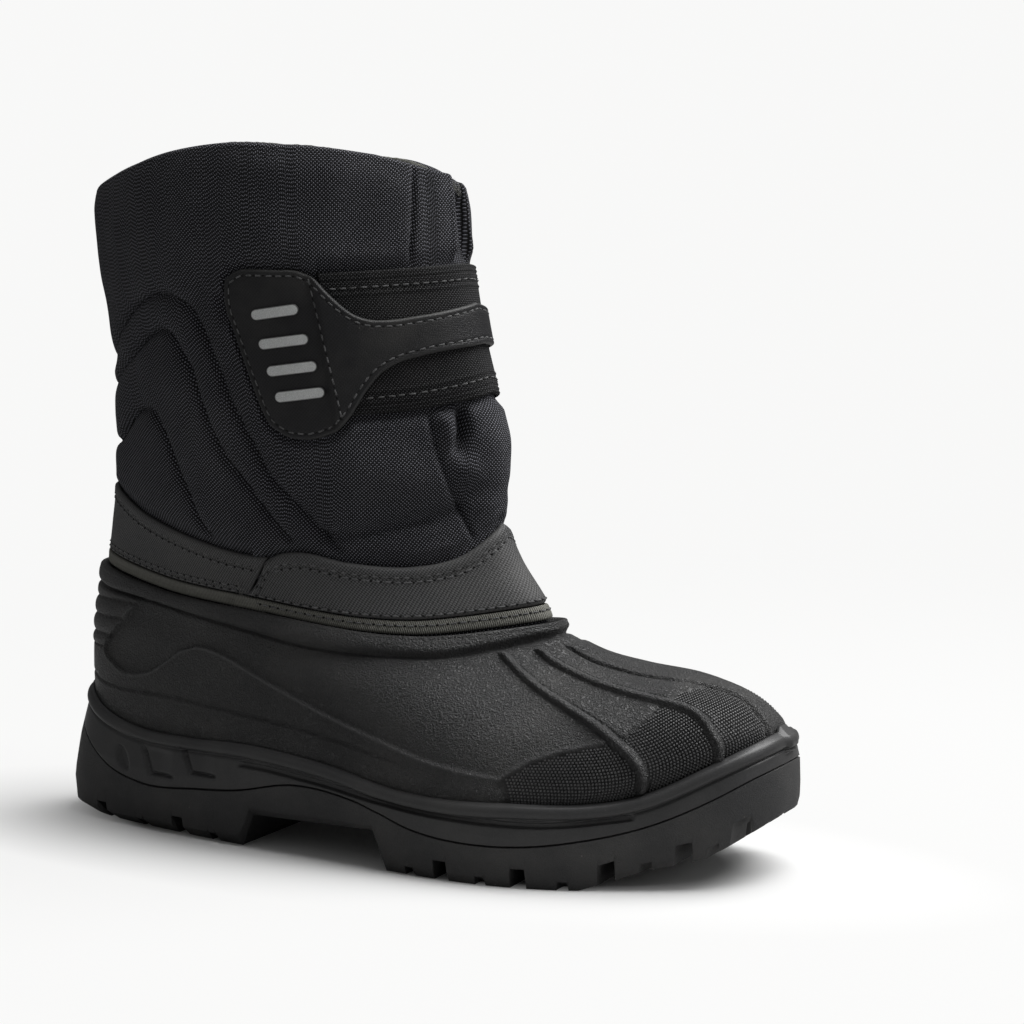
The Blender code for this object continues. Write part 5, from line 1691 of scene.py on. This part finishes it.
# %% Moulded grain
def make_grain():
    """Fine pebbles with wrinkles between them, as a mould leaves them in rubber."""
    tree, w, given, out = new_group(
        "Moulded grain", [("Place", VECTOR, None), ("Size", FLOAT, 0.0009), ("Wrinkle", FLOAT, 0.5)],
        [("Height", FLOAT), ("Tone", FLOAT)])
    scale = w.maths("DIVIDE", 1.0, given["Size"])
    pebbles = w.cells(given["Place"], scale)
    fine = w.noise(given["Place"], w.maths("MULTIPLY", scale, 2.2), 3.0, 0.6)
    wrinkle = w.noise(given["Place"], w.maths("MULTIPLY", scale, 0.45), 3.0, 0.65)
    ridge = w.span(w.maths("ABSOLUTE", w.maths("SUBTRACT", wrinkle, 0.5)), 0.0, 0.10)
    grain = w.maths("ADD", w.maths("MULTIPLY", pebbles, 0.6), w.maths("MULTIPLY", fine, 0.5))
    height = w.maths("ADD", grain, w.maths("MULTIPLY", ridge, given["Wrinkle"]))
    w.feed(out["Height"], height)
    w.feed(out["Tone"], w.maths("MULTIPLY", w.span(fine, 0.35, 0.65), w.span(ridge, 0.0, 1.0, 0.7, 1.0)))
    return tree


# %% Ribbing
def make_ribbing():
    """Ribs across a tape, a little uneven."""
    tree, w, given, out = new_group(
        "Ribbing", [("Chart", VECTOR, None), ("Pitch", FLOAT, 0.0008)],
        [("Height", FLOAT), ("Tone", FLOAT)])
    split = w.node("ShaderNodeSeparateXYZ")
    w.feed(split.inputs[0], given["Chart"])
    waver = w.maths("MULTIPLY", w.noise(given["Chart"], 900.0, 2.0), 0.5)
    place = w.maths("ADD", w.maths("DIVIDE", split.outputs["X"], given["Pitch"]), waver)
    wave = w.maths("ABSOLUTE", w.maths("SINE", w.maths("MULTIPLY", place, float(np.pi))))
    fibres = w.span(w.noise(given["Chart"], 4000.0), 0.3, 0.7, 0.7, 1.0)
    w.feed(out["Height"], wave)
    w.feed(out["Tone"], w.maths("MULTIPLY", wave, fibres))
    return tree


# %% Dust and handling marks
def make_dust():
    """Slow patches of dust with a few specks, as a boot gathers on a shelf."""
    tree, w, given, out = new_group(
        "Dust", [("Place", VECTOR, None), ("Amount", FLOAT, 0.3)],
        [("Mask", FLOAT), ("Patch", FLOAT)])
    patches = w.noise(given["Place"], 24.0, 4.0, 0.6)
    specks = w.span(w.cells(given["Place"], 260.0), 0.10, 0.05)
    rare = w.span(w.noise(given["Place"], 90.0, 1.0), 0.60, 0.66)
    mask = w.maths("ADD", w.span(patches, 0.45, 0.75, 0.0, 0.35), w.maths("MULTIPLY", specks, rare))
    w.feed(out["Mask"], w.maths("MULTIPLY", mask, given["Amount"]))
    w.feed(out["Patch"], w.span(patches, 0.3, 0.7))
    return tree


WEAVE = make_weave()
GRAIN = make_grain()
RIBBING = make_ribbing()
DUST = make_dust()
DUST_COLOUR = (0.22, 0.21, 0.19, 1.0)


# %% Material helper
# Grey of the painted highlight along proud edges of the shell
EDGE_HIGHLIGHT_COLOUR = (0.110, 0.110, 0.112, 1.0)


def material(name):
    """A new material: its wiring, its shader, its map in metres and its place in space."""
    made = bpy.data.materials.new(name)
    made.use_nodes = True
    w = Wiring(made.node_tree)
    shader = made.node_tree.nodes["Principled BSDF"]
    chart = w.node("ShaderNodeUVMap", uv_map="Metres").outputs[0]
    place = w.node("ShaderNodeTexCoord").outputs["Object"]
    return made, w, shader, chart, place


def opaque(colour):
    return (*colour, 1.0)


def mark(w, name):
    """A named mark of the mesh's points."""
    return w.node("ShaderNodeAttribute", attribute_name=name).outputs["Fac"]


def weighed(w, first, first_share, second, second_share):
    """Two values in given shares."""
    return w.maths("ADD", w.maths("MULTIPLY", first, first_share),
                   w.maths("MULTIPLY", second, second_share))


def bump(w, shader, height, depth):
    made = w.node("ShaderNodeBump")
    w.feed(made.inputs["Height"], height)
    w.feed(made.inputs["Distance"], depth)
    w.feed(shader.inputs["Normal"], made.outputs[0])


def cover(w, shader, colour, dusty):
    """The finish's colour under its dust."""
    w.feed(shader.inputs["Base Color"], w.mix(dusty["Mask"], colour, DUST_COLOUR))


# %% [markdown]
# Rubber from a mould is never plain black: its grain catches light on the ridges, and handling
# leaves duller and glossier patches. Edges that stand proud get a painted grey highlight. So grain
# and patches set the colour together, and a mark on the mesh paints the highlight on those edges. A photo
# of rubber as a texture would fix one size and one light, and formulas hold at any size.

# %% Moulded rubber
def rubber(name, dark, light, roughness, size, depth, wrinkle=0.3, dust=0.3, shine=0.5):
    """Grain in height and tone, patches of roughness, a painted highlight on proud edges, a little dust.
    """
    made, w, shader, _, place = material(name)
    grain = w.use(GRAIN, Place=place, Size=size, Wrinkle=wrinkle)
    dusty = w.use(DUST, Place=place, Amount=dust)
    tone = weighed(w, grain["Tone"], 0.75, dusty["Patch"], 0.25)
    colour = w.mix(tone, opaque(dark), opaque(light))
    # Painted highlight where the mesh marks a proud edge
    colour = w.mix(w.maths("MULTIPLY", mark(w, "edge_highlight"), 0.7), colour, EDGE_HIGHLIGHT_COLOUR)
    cover(w, shader, colour, dusty)
    patchy = w.span(dusty["Patch"], 0.0, 1.0, roughness - 0.05, roughness + 0.07)
    w.feed(shader.inputs["Roughness"], patchy)
    shader.inputs["Specular IOR Level"].default_value = shine
    bump(w, shader, grain["Height"], depth)
    return made


outsole_rubber = rubber("outsole rubber", (0.026, 0.026, 0.027), (0.056, 0.056, 0.057),
                        roughness=0.62, size=0.0006, depth=0.00016, dust=0.5)
midsole_rubber = rubber("midsole rubber", (0.038, 0.038, 0.039), (0.054, 0.054, 0.055),
                        roughness=0.40, size=0.0012, depth=0.00002, wrinkle=0.2)
shell_rubber = rubber("shell rubber", (0.010, 0.010, 0.010), (0.044, 0.044, 0.045),
                      roughness=0.43, size=0.0008, depth=0.00030, wrinkle=1.0, shine=0.6)
knob_rubber = rubber("knob rubber", (0.070, 0.070, 0.071), (0.160, 0.160, 0.162),
                     roughness=0.50, size=0.0008, depth=0.00010, wrinkle=0.4)
# Near-black finish of the pinhole plugs: painted shade inside each hole
pinhole_shade = rubber("pinhole_shade", (0.001, 0.001, 0.001), (0.003, 0.003, 0.003),
                 roughness=0.90, size=0.0010, depth=0.0, wrinkle=0.0, dust=0.0)

# %% [markdown]
# The shaft's fabric is a coarse plain weave whose threads shine a little against black
# gaps. Real threads would need millions of faces, so the weave is a bump and a colour,
# laid out on the map in metres; the colour paints the threads' highlights and the shade in the gaps. The
# webbing is the same weave, darker and finer.

# %% Woven fabric
def woven(name, dark, light, gap_shade, pitch, depth, dust=0.15):
    """Threads light and dark by turns, the light being painted highlight, with painted shade in the gaps
    between.
    """
    made, w, shader, chart, place = material(name)
    weave = w.use(WEAVE, Chart=chart, Pitch=pitch)
    dusty = w.use(DUST, Place=place, Amount=dust)
    tone = w.maths("MULTIPLY", w.span(weave["Tone"], 0.0, 1.0, 0.06, 1.0),
                   w.span(dusty["Patch"], 0.0, 1.0, 0.75, 1.0))
    threads = w.mix(tone, opaque(dark), opaque(light))
    # The gap colour paints the shade between the threads; the light colour paints their highlights
    cover(w, shader, w.mix(weave["Thread"], opaque(gap_shade), threads), dusty)
    shader.inputs["Roughness"].default_value = 0.82
    shader.inputs["Sheen Weight"].default_value = 0.04
    shader.inputs["Specular IOR Level"].default_value = 0.18
    bump(w, shader, weave["Height"], depth)
    return made


shaft_fabric = woven("shaft fabric", (0.006, 0.006, 0.008), (0.310, 0.312, 0.355),
                     gap_shade=(0.001, 0.001, 0.001), pitch=0.00074, depth=0.00030)
web_fabric = woven("strap webbing", (0.004, 0.004, 0.004), (0.110, 0.110, 0.116),
                   gap_shade=(0.001, 0.001, 0.001), pitch=0.00070, depth=0.00026)

# %% [markdown]
# The bands and the overlay are coated cloth: a twill shows through a thin, fine-grained
# skin, and where the sheet is cut the skin's edge is a little lighter. The mark `rim` on
# each layer's mesh holds the distance to its cut edge, so that the edge needs no painting.

# %% Coated bands, tape and bars
def coated(name, dark, light, edge, roughness):
    """Twill and fine grain together, and a lighter cut edge."""
    made, w, shader, chart, place = material(name)
    weave = w.use(WEAVE, Chart=chart, Pitch=0.00068)
    grain = w.use(GRAIN, Place=place, Size=0.0007, Wrinkle=0.5)
    dusty = w.use(DUST, Place=place, Amount=0.35)
    tone = weighed(w, weave["Tone"], 0.50, grain["Tone"], 0.28)
    colour = w.mix(tone, opaque(dark), opaque(light))
    at_edge = w.span(mark(w, "rim"), 0.0012, 0.0003, 0.0, 0.8)
    cover(w, shader, w.mix(at_edge, colour, opaque(edge)), dusty)
    patchy = w.span(dusty["Patch"], 0.0, 1.0, roughness - 0.05, roughness + 0.06)
    w.feed(shader.inputs["Roughness"], patchy)
    shader.inputs["Specular IOR Level"].default_value = 0.35
    bump(w, shader, weighed(w, weave["Height"], 0.5, grain["Height"], 1.0), 0.00009)
    return made


def tape_material():
    """Ribbed olive-grey tape, dull and dusty."""
    made, w, shader, chart, place = material("binding tape")
    ribs = w.use(RIBBING, Chart=chart, Pitch=0.00075)
    dusty = w.use(DUST, Place=place, Amount=0.5)
    cover(w, shader, w.mix(ribs["Tone"], (0.036, 0.036, 0.031, 1.0), (0.265, 0.262, 0.230, 1.0)), dusty)
    shader.inputs["Roughness"].default_value = 0.85
    bump(w, shader, ribs["Height"], 0.00025)
    return made


def bar_material():
    """Pale grey satin film with a darker edge."""
    made, w, shader, _, place = material("reflector grey")
    grain = w.use(GRAIN, Place=place, Size=0.0005, Wrinkle=0.3)
    colour = w.mix(grain["Tone"], (0.49, 0.50, 0.495, 1.0), (0.84, 0.86, 0.85, 1.0))
    at_edge = w.span(mark(w, "rim"), 0.0006, 0.0002)
    w.feed(shader.inputs["Base Color"], w.mix(at_edge, colour, (0.05, 0.05, 0.05, 1.0)))
    w.feed(shader.inputs["Roughness"], w.span(grain["Tone"], 0.0, 1.0, 0.38, 0.50))
    bump(w, shader, grain["Height"], 0.00004)
    return made


band_coated = coated("coated band", (0.004, 0.004, 0.004), (0.200, 0.200, 0.203),
                     edge=(0.085, 0.085, 0.085), roughness=0.58)
overlay_coated = coated("coated overlay", (0.009, 0.009, 0.010), (0.024, 0.024, 0.026),
                        edge=(0.060, 0.060, 0.060), roughness=0.46)
binding_tape = tape_material()
reflector_grey = bar_material()

# %% [markdown]
# Pile, felt and thread are all fibres too fine to build. Two sizes of noise stand for
# single fibres and for the tufts that they lie in.

# %% Pile, felt and thread
def fibre(name, dark, light, size, depth):
    """Soft fibres in a fine noise, in tufts four times as large."""
    made, w, shader, _, place = material(name)
    fine = w.noise(place, 1.0 / size, 4.0, 0.7)
    tufts = w.noise(place, 0.25 / size, 2.0)
    tone = w.maths("ADD", w.span(fine, 0.35, 0.65, 0.0, 0.6), w.span(tufts, 0.35, 0.65, 0.0, 0.4))
    w.feed(shader.inputs["Base Color"], w.mix(tone, opaque(dark), opaque(light)))
    shader.inputs["Roughness"].default_value = 0.92
    shader.inputs["Sheen Weight"].default_value = 0.3
    bump(w, shader, fine, depth)
    return made


pile = fibre("lining pile", (0.030, 0.032, 0.024), (0.12, 0.12, 0.09), 0.0008, 0.0006)
felt = fibre("insole felt", (0.05, 0.055, 0.05), (0.13, 0.14, 0.13), 0.0009, 0.0003)
fray_thread = fibre("frayed thread", (0.07, 0.07, 0.065), (0.20, 0.20, 0.18), 0.0004, 0.0001)
thread = fibre("seam thread", (0.030, 0.030, 0.031), (0.170, 0.170, 0.172), 0.0004, 0.0001)
print("materials made:", len(bpy.data.materials))


# %% Dress each piece
def dress(piece, finish, stands_for=()):
    """Give a piece its finish, and say which solids it rides with and stands for."""
    piece.data.materials.clear()
    piece.data.materials.append(finish)
    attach(piece, "root")
    if stands_for:
        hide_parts(*stands_for)


dress(outsole, outsole_rubber, ["outsole"])
dress(midsole, midsole_rubber, ["midsole"])
dress(shell, shell_rubber, ["upper_shell"])
dress(knobs, knob_rubber)
dress(shaft, shaft_fabric, ["upper_shaft"])
dress(lining, pile)
dress(heel_band, band_coated, ["heel_band"])
dress(vamp_band, band_coated, ["vamp_band"])
dress(tape, binding_tape, ["rim_binding"])
dress(webbing, web_fabric, ["strap_base"])
dress(overlay, overlay_coated, ["strap_overlay"])
for number, bar in enumerate(bars, 1):
    dress(bar, reflector_grey, [f"reflector_{number}"])
dress(thread_mesh, thread)
dress(fray_mesh, fray_thread)
dress(hole_mesh, pinhole_shade)
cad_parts["insole"].material_slots[0].material = felt

# %% [markdown]
# ## Stage, light and camera
#
# The photograph is a plain product shot: a white ground that runs up into a white wall,
# soft light from above and the upper left, and a soft shadow at the sole. The camera
# stands low and well back, with a long lens.

# %% Floor and wall in one sweep
TURN = 26.0
PITCH_DOWN = 5.84
EYE_PLACE = (0.4553, -0.8444, 0.2285)
FRONT_EDGE = -4.0
BEND_START = 2.2
BEND_RADIUS = 1.2
WALL_HEIGHT = 6.0
HALF_WIDTH = 7.0


def sweep():
    """A floor that bends up into a wall, turned to face the camera."""
    turn = np.radians(TURN)
    forward = np.array([-np.sin(turn), np.cos(turn), 0.0])
    right = np.array([np.cos(turn), np.sin(turn), 0.0])
    angle = np.linspace(0.0, np.pi / 2, 24)
    wall = BEND_START + BEND_RADIUS
    reach = np.concatenate([[FRONT_EDGE], BEND_START + BEND_RADIUS * np.sin(angle), [wall]])
    height = np.concatenate([[0.0], BEND_RADIUS * (1 - np.cos(angle)), [WALL_HEIGHT]])
    across = np.linspace(-HALF_WIDTH, HALF_WIDTH, 8)
    points = forward * reach[:, None, None] + right * across[None, :, None]
    points = points + np.array([0.0, 0.0, 1.0]) * height[:, None, None]
    index = np.arange(len(reach) * len(across)).reshape(len(reach), len(across))
    return build("floor_and_wall", points.reshape(-1, 3), quads(index), None, None)


floor = sweep()

# %% [markdown]
# White paper in a studio is lit so brightly that it burns out, but for the shadow round
# the boot. A lamp strong enough for that would burn out the boot too. So the paper glows
# by itself where it lies open, and near the boot it only shows the light that falls on
# it, which keeps the shadow. It gives the boot less light from below than it shows.

# %% Paper of the floor and the wall
FAR_RANGE = (0.35, 0.95)
OPEN_RANGE = (0.130, 0.25)
SQUEEZE = (1.0, 2.3, 1.0)


def length_of(w, vector):
    made = w.node("ShaderNodeVectorMath", operation="LENGTH")
    w.feed(made.inputs[0], vector)
    return made.outputs["Value"]


paper, w, shader, _, place = material("white paper")
seen = w.node("ShaderNodeLightPath").outputs["Is Camera Ray"]
far = w.span(length_of(w, place), *FAR_RANGE)
squeezed = w.node("ShaderNodeVectorMath", operation="MULTIPLY")
w.feed(squeezed.inputs[0], place)
w.feed(squeezed.inputs[1], SQUEEZE)
open_floor = w.span(length_of(w, squeezed.outputs["Vector"]), *OPEN_RANGE)
near_tone = w.span(seen, 0.0, 1.0, 0.30, w.span(open_floor, 0.0, 1.0, 0.84, 0.10))
tone = w.maths("MULTIPLY", near_tone, w.maths("SUBTRACT", 1.0, far))
w.feed(shader.inputs["Base Color"], w.mix(tone, (0.0, 0.0, 0.0, 1.0), (1.0, 1.0, 0.995, 1.0)))
shader.inputs["Roughness"].default_value = 0.95
shader.inputs["Specular IOR Level"].default_value = 0.0
glow = w.maths("MULTIPLY", w.span(far, 0.0, 1.0, 0.895, 1.0), w.span(seen, 0.0, 1.0, 0.15, 1.0))
glow = w.maths("MULTIPLY", glow, open_floor)
w.feed(shader.inputs["Emission Color"], w.mix(glow, (0.0, 0.0, 0.0, 1.0), (0.94, 0.94, 0.935, 1.0)))
shader.inputs["Emission Strength"].default_value = 1.0
floor.data.materials.append(paper)

# %% [markdown]
# One large soft box hangs over the inner side of the toe and draws the highlights along
# the instep, the overlay and the toe. A small one in front lifts the toe's wall a little,
# and an even grey room fills the rest.

# %% Light
scene = bpy.context.scene
scene.view_settings.view_transform = "Standard"
world = bpy.data.worlds.new("studio")
scene.world = world
world.use_nodes = True
room = world.node_tree.nodes["Background"]
room.inputs["Color"].default_value = (1.0, 1.0, 1.0, 1.0)
room.inputs["Strength"].default_value = 0.16


def softbox(name, place, aim, size, power):
    """A square area lamp at a place, turned to its aim."""
    lamp = bpy.data.lights.new(name, "AREA")
    lamp.shape = "SQUARE"
    lamp.size = size
    lamp.energy = power
    thing = bpy.data.objects.new(name, lamp)
    thing.location = place
    thing.rotation_euler = (Vector(aim) - Vector(place)).to_track_quat("-Z", "Y").to_euler()
    scene.collection.objects.link(thing)


softbox("key", place=(0.72, 0.50, 1.75), aim=(0.05, 0.0, 0.05), size=1.6, power=54.0)
softbox("toe fill", place=(1.9, -0.15, 0.8), aim=(0.0, 0.0, 0.12), size=0.9, power=2.0)

# %% Camera
lens = bpy.data.cameras.new("camera")
lens.lens = 86.02
lens.sensor_width = 36.0
camera = bpy.data.objects.new("camera", lens)
camera.location = EYE_PLACE
camera.rotation_euler = (np.radians(90.0 - PITCH_DOWN), 0.0, np.radians(TURN))
scene.collection.objects.link(camera)
scene.camera = camera
